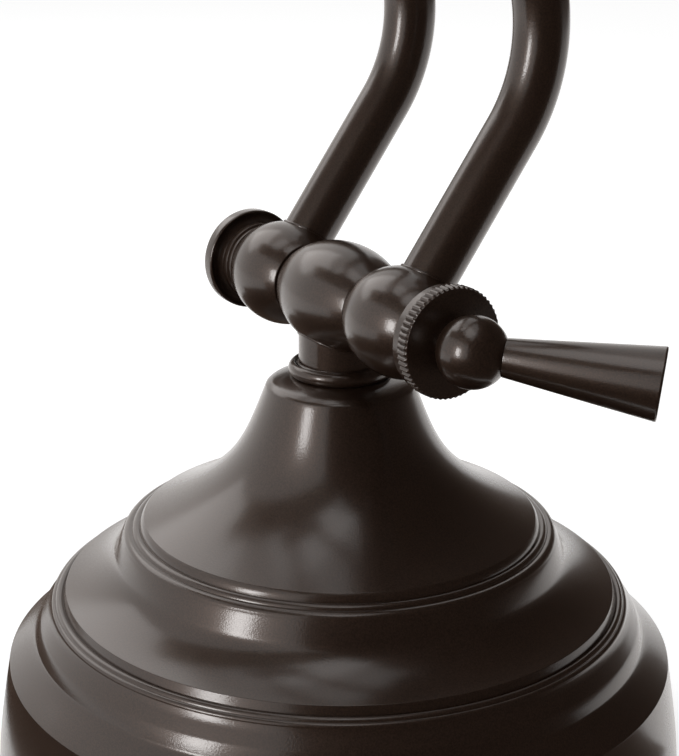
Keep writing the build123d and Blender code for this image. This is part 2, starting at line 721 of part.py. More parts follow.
STRAP_FACE = SHADE_BACK + SHEET + STRAP_T
NIPPLE_END = STRAP_FACE + 7.5

with BuildPart() as shade_nipple:
    with BuildSketch(radial_plane(UPPER_PIVOT, AHEAD, PIPE_TOP)):
        Circle(PIPE_R)
        Circle(PIPE_BORE_R, mode=Mode.SUBTRACT)
    extrude(amount=NIPPLE_END - PIPE_TOP)
save(shade_nipple, "shade_nipple")

with BuildPart() as shade_washer:
    with BuildSketch(radial_plane(UPPER_PIVOT, AHEAD, STRAP_FACE)):
        Circle(8.5)
        Circle(PIPE_FIT_R, mode=Mode.SUBTRACT)
    extrude(amount=1.0)
save(shade_washer, "shade_washer")

with BuildPart() as shade_nut:
    with BuildSketch(radial_plane(UPPER_PIVOT, AHEAD, STRAP_FACE + 1.0)):
        RegularPolygon(SMALL_NUT_R, 6, major_radius=False)
        Circle(PIPE_FIT_R, mode=Mode.SUBTRACT)
    extrude(amount=SMALL_NUT_T)
save(shade_nut, "shade_nut")


# --------------------------------------------------------------------- shade
SHADE_MIDDLE = (SHADE_Y, SHADE_Z)


def trough(radius, skirt):
    """Closed outline of an upside-down U: a half round over two straight skirts."""
    with BuildLine() as outline:
        Polyline((-radius, 0), (-radius, -skirt), (radius, -skirt), (radius, 0))
        ThreePointArc((radius, 0), (0, radius), (-radius, 0))
    make_face(outline.edges())


with BuildPart() as shade_shell:
    with BuildSketch(cross_plane(SHADE_MIDDLE, -SHADE_HALF)):
        trough(SHADE_R, SHADE_SKIRT)
        with Locations((-SHADE_R + SHEET / 2, -SHADE_SKIRT), (SHADE_R - SHEET / 2, -SHADE_SKIRT)):
            Circle(HEM_R)
    extrude(amount=2 * SHADE_HALF)
    with BuildSketch(cross_plane(SHADE_MIDDLE, -SHADE_HALF)):
        trough(SHADE_R - SHEET, SHADE_SKIRT + 2 * HEM_R)
    extrude(amount=2 * SHADE_HALF, mode=Mode.SUBTRACT)
    with BuildSketch(radial_plane(UPPER_PIVOT, AHEAD, SHADE_BACK - 1.0)):
        Circle(PIPE_FIT_R)
    extrude(amount=4.0, mode=Mode.SUBTRACT)
save(shade_shell, "shade_shell")

SWITCH_HOLE_R = SWITCH_BUSH_R + FIT


def make_shade_end(label, side):
    """End plate with a raised panel, and a lip that sits inside the shell."""
    lip_r = SHADE_R - SHEET - FIT
    with BuildPart() as end:
        with BuildSketch(cross_plane(SHADE_MIDDLE, side * SHADE_HALF, side)):
            trough(SHADE_R + SHADE_END_LIP, SHADE_SKIRT + HEM_R)
        extrude(amount=SHADE_END_T)
        fillet(end.edges().filter_by(lambda e: abs(e.center().X) > SHADE_HALF + 1), 0.6)
        with BuildSketch(cross_plane(SHADE_MIDDLE, side * (SHADE_HALF + SHADE_END_T), side)):
            trough(SHADE_R - SHADE_PANEL_INSET, SHADE_SKIRT - SHADE_PANEL_INSET)
        extrude(amount=SHADE_PANEL_T, taper=30)
        with BuildSketch(cross_plane(SHADE_MIDDLE, side * SHADE_HALF, side)):
            trough(lip_r, SHADE_SKIRT)
        extrude(amount=-7.0)
        with BuildSketch(cross_plane(SHADE_MIDDLE, side * SHADE_HALF, side)):
            trough(lip_r - SHEET, SHADE_SKIRT + HEM_R + 1)
        extrude(amount=-8.0, mode=Mode.SUBTRACT)
        if side > 0:
            with BuildSketch(cross_plane(SHADE_MIDDLE, SHADE_HALF - 1.0)):
                Circle(SWITCH_HOLE_R)
            extrude(amount=6.0, mode=Mode.SUBTRACT)
    save(end, label)


make_shade_end("shade_end_left", -1)
make_shade_end("shade_end_right", 1)

# --------------------------------------------------------------------- lamp holder and bulb
BULB_AXIS = (SHADE_Y, BULB_Z)
LEG_OUTER_X = STRAP_X - STRAP_T

with BuildPart() as holder_strap:
    with BuildSketch(Plane.XY.offset(UPPER_Z - STRAP_HALF)):
        Polygon(
            (STRAP_END_X, BACK_WALL_Y),
            (LEG_OUTER_X, BACK_WALL_Y),
            (LEG_OUTER_X, BACK_WALL_Y - 2 * STRAP_T),
            (STRAP_X, BACK_WALL_Y - 2 * STRAP_T),
            (STRAP_X, BACK_WALL_Y - STRAP_T),
            (STRAP_END_X, BACK_WALL_Y - STRAP_T),
            align=None,
        )
    extrude(amount=2 * STRAP_HALF)
    with BuildSketch(cross_plane(BULB_AXIS, LEG_OUTER_X)):
        with BuildLine():
            leg_root = BACK_WALL_Y - SHADE_Y - STRAP_T
            low, high = UPPER_Z - STRAP_HALF - BULB_Z, UPPER_Z + STRAP_HALF - BULB_Z
            Polyline((leg_root, high), (leg_root, low), (0, -STRAP_EYE_R))
            ThreePointArc((0, -STRAP_EYE_R), (-STRAP_EYE_R, 0), (0, STRAP_EYE_R))
            Line((0, STRAP_EYE_R), (leg_root, high))
        make_face()
        Circle(PIPE_FIT_R, mode=Mode.SUBTRACT)
    extrude(amount=STRAP_T)
    with BuildSketch(radial_plane(UPPER_PIVOT, AHEAD, SHADE_BACK)):
        Circle(PIPE_FIT_R)
    extrude(amount=5.0, mode=Mode.SUBTRACT)
save(holder_strap, "holder_strap")

HOLDER_X = STRAP_X
HOLDER_MOUTH_X = HOLDER_X + HOLDER_LENGTH
HOLDER_FLOOR_X = HOLDER_MOUTH_X - CAP_LENGTH - 3.0
CAP_X = HOLDER_MOUTH_X - CAP_LENGTH

with BuildPart() as lamp_holder:
    with BuildSketch(lathe_plane(BULB_AXIS)):
        with BuildLine():
            Polyline((HOLDER_X, PIPE_FIT_R), (HOLDER_X, 11.0), (HOLDER_X + 3, 12.5))
            ThreePointArc((HOLDER_X + 3, 12.5), (HOLDER_X + 8, 15.6), (HOLDER_X + 13, HOLDER_R))
            Polyline(
                (HOLDER_X + 13, HOLDER_R),
                (HOLDER_MOUTH_X - 3, HOLDER_R),
                (HOLDER_MOUTH_X - 3, HOLDER_RIM_R),
                (HOLDER_MOUTH_X, HOLDER_RIM_R),
                (HOLDER_MOUTH_X, HOLDER_BORE_R),
                (HOLDER_FLOOR_X, HOLDER_BORE_R),
                (HOLDER_FLOOR_X, PIPE_FIT_R),
                (HOLDER_X, PIPE_FIT_R),
            )
        make_face()
    revolve(axis=lathe_axis(BULB_AXIS))
save(lamp_holder, "lamp_holder")

with BuildPart() as holder_nipple:
    with BuildSketch(cross_plane(BULB_AXIS, LEG_OUTER_X - 6.0)):
        Circle(PIPE_R)
        Circle(PIPE_BORE_R, mode=Mode.SUBTRACT)
    extrude(amount=6.0 + STRAP_T + 8.0)
save(holder_nipple, "holder_nipple")

with BuildPart() as holder_nut:
    with BuildSketch(cross_plane(BULB_AXIS, LEG_OUTER_X - SMALL_NUT_T)):
        RegularPolygon(SMALL_NUT_R, 6, major_radius=False)
        Circle(PIPE_FIT_R, mode=Mode.SUBTRACT)
    extrude(amount=SMALL_NUT_T)
save(holder_nut, "holder_nut")

with BuildPart() as holder_contact:
    with BuildSketch(cross_plane(BULB_AXIS, HOLDER_FLOOR_X)):
        Circle(CONTACT_R)
        Circle(PIPE_FIT_R, mode=Mode.SUBTRACT)
    extrude(amount=1.0)
    with BuildSketch(cross_plane(BULB_AXIS, HOLDER_FLOOR_X + 1.0)):
        Rectangle(2 * CONTACT_R, 5.0)
    extrude(amount=1.0)
save(holder_contact, "holder_contact")

GLASS_START_X = CAP_X + 6.0
BULB_END_X = HOLDER_MOUTH_X + BULB_REACH

with BuildPart() as bulb_cap:
    with BuildSketch(lathe_plane(BULB_AXIS)):
        Polygon(
            (CAP_X, 0),
            (CAP_X, 5.0),
            (CAP_X + 2.5, 9.5),
            (CAP_X + 4.0, CAP_R),
            (HOLDER_MOUTH_X - 0.5, CAP_R),
            (HOLDER_MOUTH_X - 0.5, GLASS_NECK_R + FIT),
            (GLASS_START_X - 0.5, GLASS_NECK_R + FIT),
            (GLASS_START_X - 0.5, 9.0),
            (CAP_X + 3.0, 5.0),
            (CAP_X + 1.0, 0),
            align=None,
        )
    revolve(axis=lathe_axis(BULB_AXIS))
save(bulb_cap, "bulb_cap")


def bulb_side(neck_r, body_r, tip):
    """One side of the bulb's glass, from the neck to the tip on the axis."""
    throat = (HOLDER_MOUTH_X + 2.0, neck_r)
    body = (HOLDER_MOUTH_X + 14.0, body_r)
    round_start = (BULB_END_X - BULB_R, body_r)
    Line((GLASS_START_X, neck_r), throat)
    Bezier(throat, (throat[0] + 5.0, neck_r), (body[0] - 5.0, body_r), body)
    Line(body, round_start)
    dome(round_start, tip)
    return (GLASS_START_X, neck_r), (tip, 0)


with BuildPart() as bulb_glass:
    with BuildSketch(lathe_plane(BULB_AXIS)):
        with BuildLine():
            outer_start, outer_tip = bulb_side(GLASS_NECK_R, BULB_R, BULB_END_X)
            inner_start, inner_tip = bulb_side(GLASS_NECK_R - GLASS, BULB_R - GLASS, BULB_END_X - GLASS)
            Line(outer_start, inner_start)
            Line(outer_tip, inner_tip)
        make_face()
    revolve(axis=lathe_axis(BULB_AXIS))
save(bulb_glass, "bulb_glass")

# --------------------------------------------------------------------- switch in the right end
PANEL_X = SHADE_HALF + SHADE_END_T + SHADE_PANEL_T
SWITCH_BACK_X = SHADE_HALF - SWITCH_DEPTH
BUSH_END_X = PANEL_X + 4.0
KNOB_X = BUSH_END_X + 0.6
KNOB_END_X = KNOB_X + KNOB_LENGTH
KNURL_START_X = KNOB_X + 6.3
SPINDLE_START_X = SHADE_HALF - SPINDLE_SINK

with BuildPart() as switch_body:
    with BuildSketch(cross_plane(SHADE_MIDDLE, SWITCH_BACK_X)):
        RectangleRounded(22.0, 26.0, 3.0)
    extrude(amount=SHADE_HALF - SWITCH_BACK_X)
    with BuildSketch(cross_plane(SHADE_MIDDLE, SHADE_HALF)):
        Circle(SWITCH_BUSH_R)
    extrude(amount=BUSH_END_X - SHADE_HALF)
    with BuildSketch(cross_plane(SHADE_MIDDLE, SPINDLE_START_X - 0.1)):
        Circle(SPINDLE_R + FIT)
    extrude(amount=BUSH_END_X - SPINDLE_START_X + 0.1, mode=Mode.SUBTRACT)
save(switch_body, "switch_body")

with BuildPart() as switch_ring_nut:
    with BuildSketch(cross_plane(SHADE_MIDDLE, PANEL_X)):
        Circle(SWITCH_NUT_R)
        Circle(SWITCH_HOLE_R, mode=Mode.SUBTRACT)
    extrude(amount=SWITCH_NUT_T)
    chamfer(switch_ring_nut.faces().sort_by(Axis.X)[-1].edges().sort_by(SortBy.RADIUS)[-1], 0.5)
save(switch_ring_nut, "switch_ring_nut")

with BuildPart() as switch_spindle:
    with BuildSketch(cross_plane(SHADE_MIDDLE, SPINDLE_START_X)):
        Circle(SPINDLE_R)
    extrude(amount=KNOB_END_X - 3.0 - SPINDLE_START_X)
save(switch_spindle, "switch_spindle")

with BuildPart() as switch_knob:
    with BuildSketch(lathe_plane(SHADE_MIDDLE)):
        with BuildLine():
            neck_end = (KNOB_X + 4.0, KNOB_NECK_R)
            grip_start = (KNURL_START_X, KNOB_R)
            grip_end = (KNOB_END_X - 1.2, KNOB_R)
            Polyline((KNOB_X, SPINDLE_R + FIT), (KNOB_X, 5.6), (KNOB_X + 1.0, KNOB_NECK_R), neck_end)
            Bezier(neck_end, (KNOB_X + 5.5, KNOB_NECK_R), (KNOB_X + 4.8, KNOB_R), grip_start)
            Line(grip_start, grip_end)
            ThreePointArc(grip_end, (KNOB_END_X - 0.3, 7.6), (KNOB_END_X, 6.6))
            Polyline(
                (KNOB_END_X, 6.6),
                (KNOB_END_X, 0),
                (KNOB_END_X - 2.9, 0),
                (KNOB_END_X - 2.9, SPINDLE_R + FIT),
                (KNOB_X, SPINDLE_R + FIT),
            )
        make_face()
    revolve(axis=lathe_axis(SHADE_MIDDLE))
    cut_knurl(SHADE_MIDDLE, KNURL_START_X, KNOB_LENGTH, KNOB_R, KNOB_TEETH, KNURL_DEPTH)
save(switch_knob, "switch_knob")
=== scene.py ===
# %% [markdown]
# # Piano lamp in dark bronze
# A stepped round base carries a knuckle of three beads on one pivot bolt. Two bent tubes rise from
# the outer beads to a second knuckle, and a trough shade hangs from it. The moving parts are exact
# already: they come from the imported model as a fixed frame, in metres, with +Z up and the pivots
# along X. This lesson gives the lamp its turned metal, its lacquer and its light.

# %% Load the frame
import json
from math import acos, atan2, cos, degrees, hypot, pi, radians, sin, sqrt, tan

import bmesh
import bpy
from mathutils import Euler, Matrix, Vector

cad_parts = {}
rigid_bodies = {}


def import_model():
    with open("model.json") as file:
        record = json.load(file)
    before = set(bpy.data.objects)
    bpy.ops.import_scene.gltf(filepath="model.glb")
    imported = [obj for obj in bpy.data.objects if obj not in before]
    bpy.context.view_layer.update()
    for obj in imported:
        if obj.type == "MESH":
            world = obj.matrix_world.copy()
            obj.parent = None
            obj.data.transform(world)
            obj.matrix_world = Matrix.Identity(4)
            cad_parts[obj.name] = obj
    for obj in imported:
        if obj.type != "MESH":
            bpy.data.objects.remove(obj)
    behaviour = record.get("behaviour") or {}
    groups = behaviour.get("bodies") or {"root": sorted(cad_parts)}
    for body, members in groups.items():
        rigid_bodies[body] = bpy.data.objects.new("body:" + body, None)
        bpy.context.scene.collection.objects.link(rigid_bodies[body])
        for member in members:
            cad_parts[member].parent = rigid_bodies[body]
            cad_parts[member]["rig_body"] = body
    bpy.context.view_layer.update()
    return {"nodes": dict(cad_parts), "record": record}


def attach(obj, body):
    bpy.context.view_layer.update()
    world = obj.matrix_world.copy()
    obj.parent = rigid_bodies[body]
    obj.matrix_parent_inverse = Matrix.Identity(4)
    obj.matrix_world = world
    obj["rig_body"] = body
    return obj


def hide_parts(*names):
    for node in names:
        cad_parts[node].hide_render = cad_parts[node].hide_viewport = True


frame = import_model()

nodes = frame["nodes"]
scene = bpy.context.scene

# %% [markdown]
# ## Small tools
# The drawings of the lamp are in millimetres and Blender works in metres, so `MM` turns one into
# the other. Colours are written as the hex values of a paint card, which are sRGB. Blender's
# shaders add and multiply light, so `paint` turns each value to linear first. `add` is the only
# helper for node trees: it adds one node, sets it up and plugs in its links.

# %% Units, colour and nodes
MM = 0.001


def paint(hex_colour):
    """Linear RGBA of an sRGB hex colour."""
    parts = [int(hex_colour[k:k + 2], 16) / 255 for k in (1, 3, 5)]
    linear = [p / 12.92 if p <= 0.04045 else ((p + 0.055) / 1.055) ** 2.4 for p in parts]
    return (*linear, 1.0)


def add(tree, kind, inputs=None, **settings):
    """Add a node to a tree; an input is given a value or the socket that feeds it."""
    node = tree.nodes.new(kind)
    for key, value in settings.items():
        setattr(node, key, value)
    for key, value in (inputs or {}).items():
        if isinstance(value, bpy.types.NodeSocket):
            tree.links.new(value, node.inputs[key])
        else:
            node.inputs[key].default_value = value
    return node


def put_in_scene(data, name):
    """Make an object of some data and show it."""
    thing = bpy.data.objects.new(name, data)
    scene.collection.objects.link(thing)
    return thing


print("mid grey", [round(part, 3) for part in paint("#808080")])

# %% [markdown]
# ## Camera
# The lamp is looked at from close by, over its right shoulder and a little from above, with a
# portrait lens. The camera stands 0.38 m from the lamp's axis. Its height is counted from the
# lower pivot, and the pitch puts the knuckle in the upper middle of the frame. It is held a third
# of a degree out of level, and a little to the left, as a camera in the hand is.

# %% Camera
PIVOT_Z = 120.0
CAMERA_AZIMUTH = radians(58.07)
CAMERA_PITCH = radians(17.913)
CAMERA_DISTANCE = 381.64
CAMERA_RISE = 103.22
CAMERA_ROLL = radians(0.33)
CAMERA_LEFT = 0.26
LENS, SENSOR = 80.28, 36.0

camera = put_in_scene(bpy.data.cameras.new("camera"), "camera")
camera.location = Vector((
    CAMERA_DISTANCE * sin(CAMERA_AZIMUTH) - CAMERA_LEFT * cos(CAMERA_AZIMUTH),
    -CAMERA_DISTANCE * cos(CAMERA_AZIMUTH) - CAMERA_LEFT * sin(CAMERA_AZIMUTH),
    PIVOT_Z + CAMERA_RISE,
)) * MM
level = Euler((pi / 2 - CAMERA_PITCH, 0, CAMERA_AZIMUTH)).to_matrix()
camera.rotation_euler = (level @ Matrix.Rotation(CAMERA_ROLL, 3, "Z")).to_euler()
camera.data.lens = LENS
camera.data.sensor_width = SENSOR
camera.data.clip_start = 0.01
camera.data.clip_end = 60.0
scene.camera = camera
scene.view_settings.view_transform = "Standard"
print("camera", [round(part, 4) for part in camera.location])

# %% [markdown]
# ## Studio
# Dark lacquer shows the room more than it shows itself, so the room is designed like one for
# silverware: a white floor and a white surround, a narrow soft box on the left that draws the
# highlights, and two wide ones behind and overhead. Low cards lie round the base, and a tall card
# stands on the right, where the metal should read dark. The cards are seen by reflections alone,
# so they take no light from the lamp and hide nothing from any camera.

# %% Floor and surround
def seen_directly(tree):
    """1 for rays from the camera and for mirror and glass rays, 0 for the light that falls."""
    path = add(tree, "ShaderNodeLightPath")
    either = add(tree, "ShaderNodeMath", {0: path.outputs["Is Camera Ray"],
                                          1: path.outputs["Is Glossy Ray"]}, operation="MAXIMUM")
    any_of = add(tree, "ShaderNodeMath", {0: either.outputs[0],
                                          1: path.outputs["Is Transmission Ray"]}, operation="MAXIMUM")
    return any_of.outputs[0]


def clear_tree(owner):
    """Turn nodes on and empty the tree."""
    owner.use_nodes = True
    owner.node_tree.nodes.clear()
    return owner.node_tree


WHITE = (1, 1, 1, 1)
AMBIENT = 0.42
FLOOR_REACH = 12.0

world = bpy.data.worlds.new("white_surround")
scene.world = world
sky = clear_tree(world)
ambient = add(sky, "ShaderNodeBackground", {"Color": WHITE, "Strength": AMBIENT})
surround = add(sky, "ShaderNodeBackground", {"Color": WHITE, "Strength": 1.0})
either_sky = add(sky, "ShaderNodeMixShader", {0: seen_directly(sky), 1: ambient.outputs[0],
                                              2: surround.outputs[0]})
add(sky, "ShaderNodeOutputWorld", {"Surface": either_sky.outputs[0]})

# The floor glows a little for direct rays, so that it reads white and still keeps a soft shadow.
white_floor = bpy.data.materials.new("white_floor")
floor_tree = clear_tree(white_floor)
floor_paint = add(floor_tree, "ShaderNodeBsdfDiffuse", {"Color": paint("#dedede")})
floor_glow = add(floor_tree, "ShaderNodeEmission", {"Color": WHITE, "Strength": 0.64})
floor_black = add(floor_tree, "ShaderNodeEmission", {"Strength": 0.0})
floor_seen = add(floor_tree, "ShaderNodeMixShader", {0: seen_directly(floor_tree),
                                                     1: floor_black.outputs[0],
                                                     2: floor_glow.outputs[0]})
floor_sum = add(floor_tree, "ShaderNodeAddShader", {0: floor_paint.outputs[0],
                                                    1: floor_seen.outputs[0]})
add(floor_tree, "ShaderNodeOutputMaterial", {"Surface": floor_sum.outputs[0]})

floor_mesh = bpy.data.meshes.new("floor")
floor_corners = ((-1, -1), (1, -1), (1, 1), (-1, 1))
floor_mesh.from_pydata([(x * FLOOR_REACH, y * FLOOR_REACH, 0) for x, y in floor_corners],
                       [], [(0, 1, 2, 3)])
floor_mesh.materials.append(white_floor)
floor = put_in_scene(floor_mesh, "floor")
print("floor", 2 * FLOOR_REACH, "m wide, ambient light", AMBIENT)

# %% Soft boxes and dark cards
AIM = Vector((0, 0, 0.08))  # the lamps and the tall card stand round this point
WHITE_FACE = 4  # watts per square metre of lamp for a face as bright as white


def direction(azimuth, elevation):
    """Direction out of the base: azimuth in degrees to the left of the camera's side."""
    turn, rise = CAMERA_AZIMUTH - radians(azimuth), radians(elevation)
    return Vector((sin(turn) * cos(rise), -cos(turn) * cos(rise), sin(rise)))


def soft_box(name, azimuth, elevation, distance, width, height, brightness):
    """Area lamp that faces the base; brightness is how bright its face looks, white being 1."""
    away = direction(azimuth, elevation)
    lamp = bpy.data.lights.new(name, "AREA")
    lamp.shape = "RECTANGLE"
    lamp.size, lamp.size_y = width, height
    lamp.energy = WHITE_FACE * width * height * brightness
    holder = put_in_scene(lamp, name)
    holder.location = AIM + away * distance
    holder.rotation_euler = away.to_track_quat("Z", "Y").to_euler()
    holder.visible_camera = False


soft_box("soft_box_left", 48, 12, 1.3, 0.27, 0.50, 11.8)
soft_box("soft_box_back", 135, 40, 1.5, 1.0, 0.9, 1.1)
soft_box("soft_box_top", 60, 74, 1.5, 1.1, 0.8, 0.8)

# matt board: dark and a little warm
card_black = bpy.data.materials.new("card_black")
card_tree = clear_tree(card_black)
card_paint = add(card_tree, "ShaderNodeBsdfDiffuse", {"Color": paint("#62534a")})
add(card_tree, "ShaderNodeOutputMaterial", {"Surface": card_paint.outputs[0]})


def reflection_only(name, mesh):
    """Put a card in the scene that mirrors see and nothing else does."""
    mesh.materials.append(card_black)
    card = put_in_scene(mesh, name)
    card.visible_camera = False
    card.visible_diffuse = False
    card.visible_shadow = False
    card.visible_transmission = False


def dark_card(name, corners, distance=1.9, steps=20, bands=8):
    """Tall curved card that only reflections see. Corners are (azimuth, low, high) in degrees."""
    shape = bmesh.new()
    rows = []
    for (from_az, from_low, from_high), (to_az, to_low, to_high) in zip(corners, corners[1:]):
        for k in range(steps + 1):
            t = k / steps
            low, high = from_low + (to_low - from_low) * t, from_high + (to_high - from_high) * t
            azimuth = from_az + (to_az - from_az) * t
            heights = [low + (high - low) * j / bands for j in range(bands + 1)]
            rows.append([shape.verts.new(AIM + direction(azimuth, height) * distance)
                         for height in heights])
    for left, right in zip(rows, rows[1:]):
        for j in range(bands):
            if (left[j].co - right[j].co).length > 1e-5:
                shape.faces.new((left[j], left[j + 1], right[j + 1], right[j]))
    mesh = bpy.data.meshes.new(name)
    shape.to_mesh(mesh)
    shape.free()
    reflection_only(name, mesh)


def low_card(name, from_az, to_az, inner, outer, height=0.004, steps=40):
    """Flat card just above the floor, between two distances from the lamp's axis."""
    turns = [from_az + (to_az - from_az) * k / steps for k in range(steps + 1)]
    ring_points = [(direction(az, 0) * away) for az in turns for away in (inner, outer)]
    mesh = bpy.data.meshes.new(name)
    mesh.from_pydata([(p.x, p.y, height) for p in ring_points], [],
                     [(2 * k, 2 * k + 1, 2 * k + 3, 2 * k + 2) for k in range(steps)])
    reflection_only(name, mesh)


CARD_INNER = 0.100
low_card("low_card_front", -86, 28, CARD_INNER, 1.9)
low_card("low_card_key", 28, 66, CARD_INNER, 1.0)
low_card("low_card_left", 66, 120, CARD_INNER, 0.30)
low_card("low_card_back", 120, 210, CARD_INNER, 0.24)
dark_card("dark_card_right", [(-162, 2, 66), (-120, -2, 76), (-45, -4, 76), (-10, -4, 62),
                              (18, -4, 42)])
print("three soft boxes, four low cards and a dark card")

# %% [markdown]
# ## Dark bronze lacquer
# The lamp is steel and brass under one finish: a nearly black brown lacquer with very fine metal
# powder in it, sprayed on and cured. To the eye that is three things. The powder gives a broad,
# soft sheen a little warmer than grey. The clear skin gives small, sharp highlights. And the spray
# leaves a fine orange peel, which breaks those highlights into grains about 0.4 mm wide. The
# colours are darker where the lacquer gathers and lighter where it ran thin.

# %% Dark bronze lacquer
def start_material(name):
    """New material with a Principled shader; returns the material, its tree and the shader."""
    material = bpy.data.materials.new(name)
    tree = clear_tree(material)
    shader = add(tree, "ShaderNodeBsdfPrincipled")
    add(tree, "ShaderNodeOutputMaterial", {"Surface": shader.outputs[0]})
    return material, tree, shader


def grains(size_mm):
    """Noise scale whose grains are about this wide on the lamp."""
    return 1.0 / (size_mm * MM)


def noise(tree, size_mm, detail=2.0, roughness=0.5, vector=None):
    """Noise that sits still on the piece, with grains of a size in millimetres."""
    place = vector or add(tree, "ShaderNodeTexCoord").outputs["Object"]
    return add(tree, "ShaderNodeTexNoise", {"Vector": place, "Scale": grains(size_mm),
                                            "Detail": detail, "Roughness": roughness})


def spread(tree, value, low, high):
    """Send a 0.3 to 0.7 noise to the range low to high."""
    return add(tree, "ShaderNodeMapRange", {"Value": value, "From Min": 0.3, "From Max": 0.7,
                                            "To Min": low, "To Max": high}).outputs[0]


def bronze_lacquer():
    """Sprayed dark bronze lacquer with fine metal powder: satin sheen, sharp small highlights."""
    material, tree, shader = start_material("bronze_lacquer")
    cloud = noise(tree, 22.0, detail=3.0)
    powder = noise(tree, 0.38, detail=1.0)
    tone = add(tree, "ShaderNodeMix", {"Factor": cloud.outputs[0], "A": paint("#2b1f18"),
                                       "B": paint("#352820")}, data_type="RGBA")
    flecks = spread(tree, powder.outputs[0], 0.70, 1.34)
    shade = add(tree, "ShaderNodeMix", {"Factor": 1.0, "A": tone.outputs["Result"], "B": flecks},
                data_type="RGBA", blend_type="MULTIPLY")
    tree.links.new(shade.outputs["Result"], shader.inputs["Base Color"])
    tree.links.new(spread(tree, powder.outputs[0], 0.34, 0.46), shader.inputs["Roughness"])
    peel = noise(tree, 0.9, detail=2.0)
    fine = add(tree, "ShaderNodeBump", {"Strength": 0.8, "Distance": 0.020 * MM,
                                        "Height": powder.outputs[0]})
    skin = add(tree, "ShaderNodeBump", {"Strength": 0.35, "Distance": 0.012 * MM,
                                        "Height": peel.outputs[0], "Normal": fine.outputs[0]})
    tree.links.new(skin.outputs[0], shader.inputs["Normal"])
    tree.links.new(skin.outputs[0], shader.inputs["Coat Normal"])
    shader.inputs["Metallic"].default_value = 0.55
    shader.inputs["Coat Weight"].default_value = 0.9
    shader.inputs["Coat Roughness"].default_value = 0.17
    shader.inputs["Coat Tint"].default_value = paint("#f3e6dc")
    return material


FINISHES = {"bronze": bronze_lacquer()}
print("made", FINISHES["bronze"].name)

# %% [markdown]
# ## The other finishes
# Inside the lamp the plain materials show: zinc-plated steel nuts and strap, raw cast iron, black
# felt under the base, a rubber bushing for the cord, fibre washers, a dark phenolic lamp holder,
# the bulb's brass cap and its frosted glass. Each gets the grain that its making leaves.

# %% Plain finishes
def plain_finish(name, dark, light, size_mm, rough, metallic=0.0, bump_mm=0.0, stretch=(1, 1, 1)):
    """Finish whose tone and gloss drift between two values with one grain size."""
    material, tree, shader = start_material(name)
    place = add(tree, "ShaderNodeTexCoord").outputs["Object"]
    drawn = add(tree, "ShaderNodeMapping", {"Vector": place, "Scale": stretch})
    grain = noise(tree, size_mm, detail=4.0, vector=drawn.outputs[0])
    tone = add(tree, "ShaderNodeMix", {"Factor": spread(tree, grain.outputs[0], 0, 1),
                                       "A": paint(dark), "B": paint(light)}, data_type="RGBA")
    tree.links.new(tone.outputs["Result"], shader.inputs["Base Color"])
    tree.links.new(spread(tree, grain.outputs[0], *rough), shader.inputs["Roughness"])
    shader.inputs["Metallic"].default_value = metallic
    if bump_mm:
        bump = add(tree, "ShaderNodeBump", {"Strength": 0.6, "Distance": bump_mm * MM,
                                            "Height": grain.outputs[0]})
        tree.links.new(bump.outputs[0], shader.inputs["Normal"])
    return material, shader


# zinc plating: pale blue-grey, drawn marks along the piece
steel, _ = plain_finish("zinc_plated_steel", "#9b9da0", "#c2c4c6", 0.8, (0.24, 0.36), 1.0, 0.004,
                        (0.2, 1, 1))
# sand-cast iron: dull, coarse grain of the mould
iron, _ = plain_finish("sand_cast_iron", "#35332f", "#4c4945", 0.7, (0.65, 0.85), 0.8, 0.12)
# wool felt: matted fibres about 0.15 mm thick, drawn coarser so that they show
felt, felt_shader = plain_finish("wool_felt", "#141312", "#262422", 0.5, (0.9, 1.0), 0.0, 0.15)
felt_shader.inputs["Sheen Weight"].default_value = 0.4
felt_shader.inputs["Sheen Roughness"].default_value = 0.5
# moulded rubber: slightly grey bloom on black
rubber, _ = plain_finish("moulded_rubber", "#161514", "#201f1e", 1.5, (0.5, 0.65), 0.0, 0.01)
# vulcanised fibre: dark brown, dull, faint layers
fibre, _ = plain_finish("vulcanised_fibre", "#2a211b", "#3a2e25", 0.6, (0.55, 0.7), 0.0, 0.01)
# phenolic moulding: dark brown with a polished mould surface
phenolic, _ = plain_finish("phenolic_moulding", "#1d1613", "#2b201b", 3.0, (0.22, 0.32))
# pressed brass: yellow, soft tool marks round the cap
brass, _ = plain_finish("pressed_brass", "#a8894a", "#c9a961", 0.9, (0.22, 0.34), 1.0, 0.004)
# white stove enamel inside the shade: throws the light down, slightly warm
enamel, _ = plain_finish("white_enamel", "#e4e1da", "#eeece6", 12.0, (0.30, 0.40), 0.0, 0.006)
# acid-frosted glass: even white bloom on the bulb
glass, glass_shader = plain_finish("frosted_glass", "#e9e8e4", "#f4f3f0", 6.0, (0.38, 0.46))
glass_shader.inputs["Transmission Weight"].default_value = 0.45
glass_shader.inputs["IOR"].default_value = 1.5

FINISHES.update(steel=steel, iron=iron, felt=felt, rubber=rubber, fibre=fibre, phenolic=phenolic,
                brass=brass, glass=glass)
slot_of = {row["node"]: row["material_slot"] for row in frame["record"]["subparts"]}
for label, piece in nodes.items():
    piece.data.materials.clear()
    piece.data.materials.append(FINISHES[slot_of[label]])
print(len(FINISHES), "finishes on", len(nodes), "pieces")

# %% [markdown]
# ## A lathe made of geometry nodes
# Nearly every visible piece of this lamp was turned on a lathe or spun over a form, so it is an
# outline carried round an axis. The node tree below does what the lathe does. Its input mesh is
# the outline, one vertex for each step. It lays out a grid with as many rows as the outline has
# points and as many columns as there are segments, then moves each point to its row's radius and
# its column's angle. A knurl is the same thing with teeth: near the rim the radius dips between
# rounded ridges.

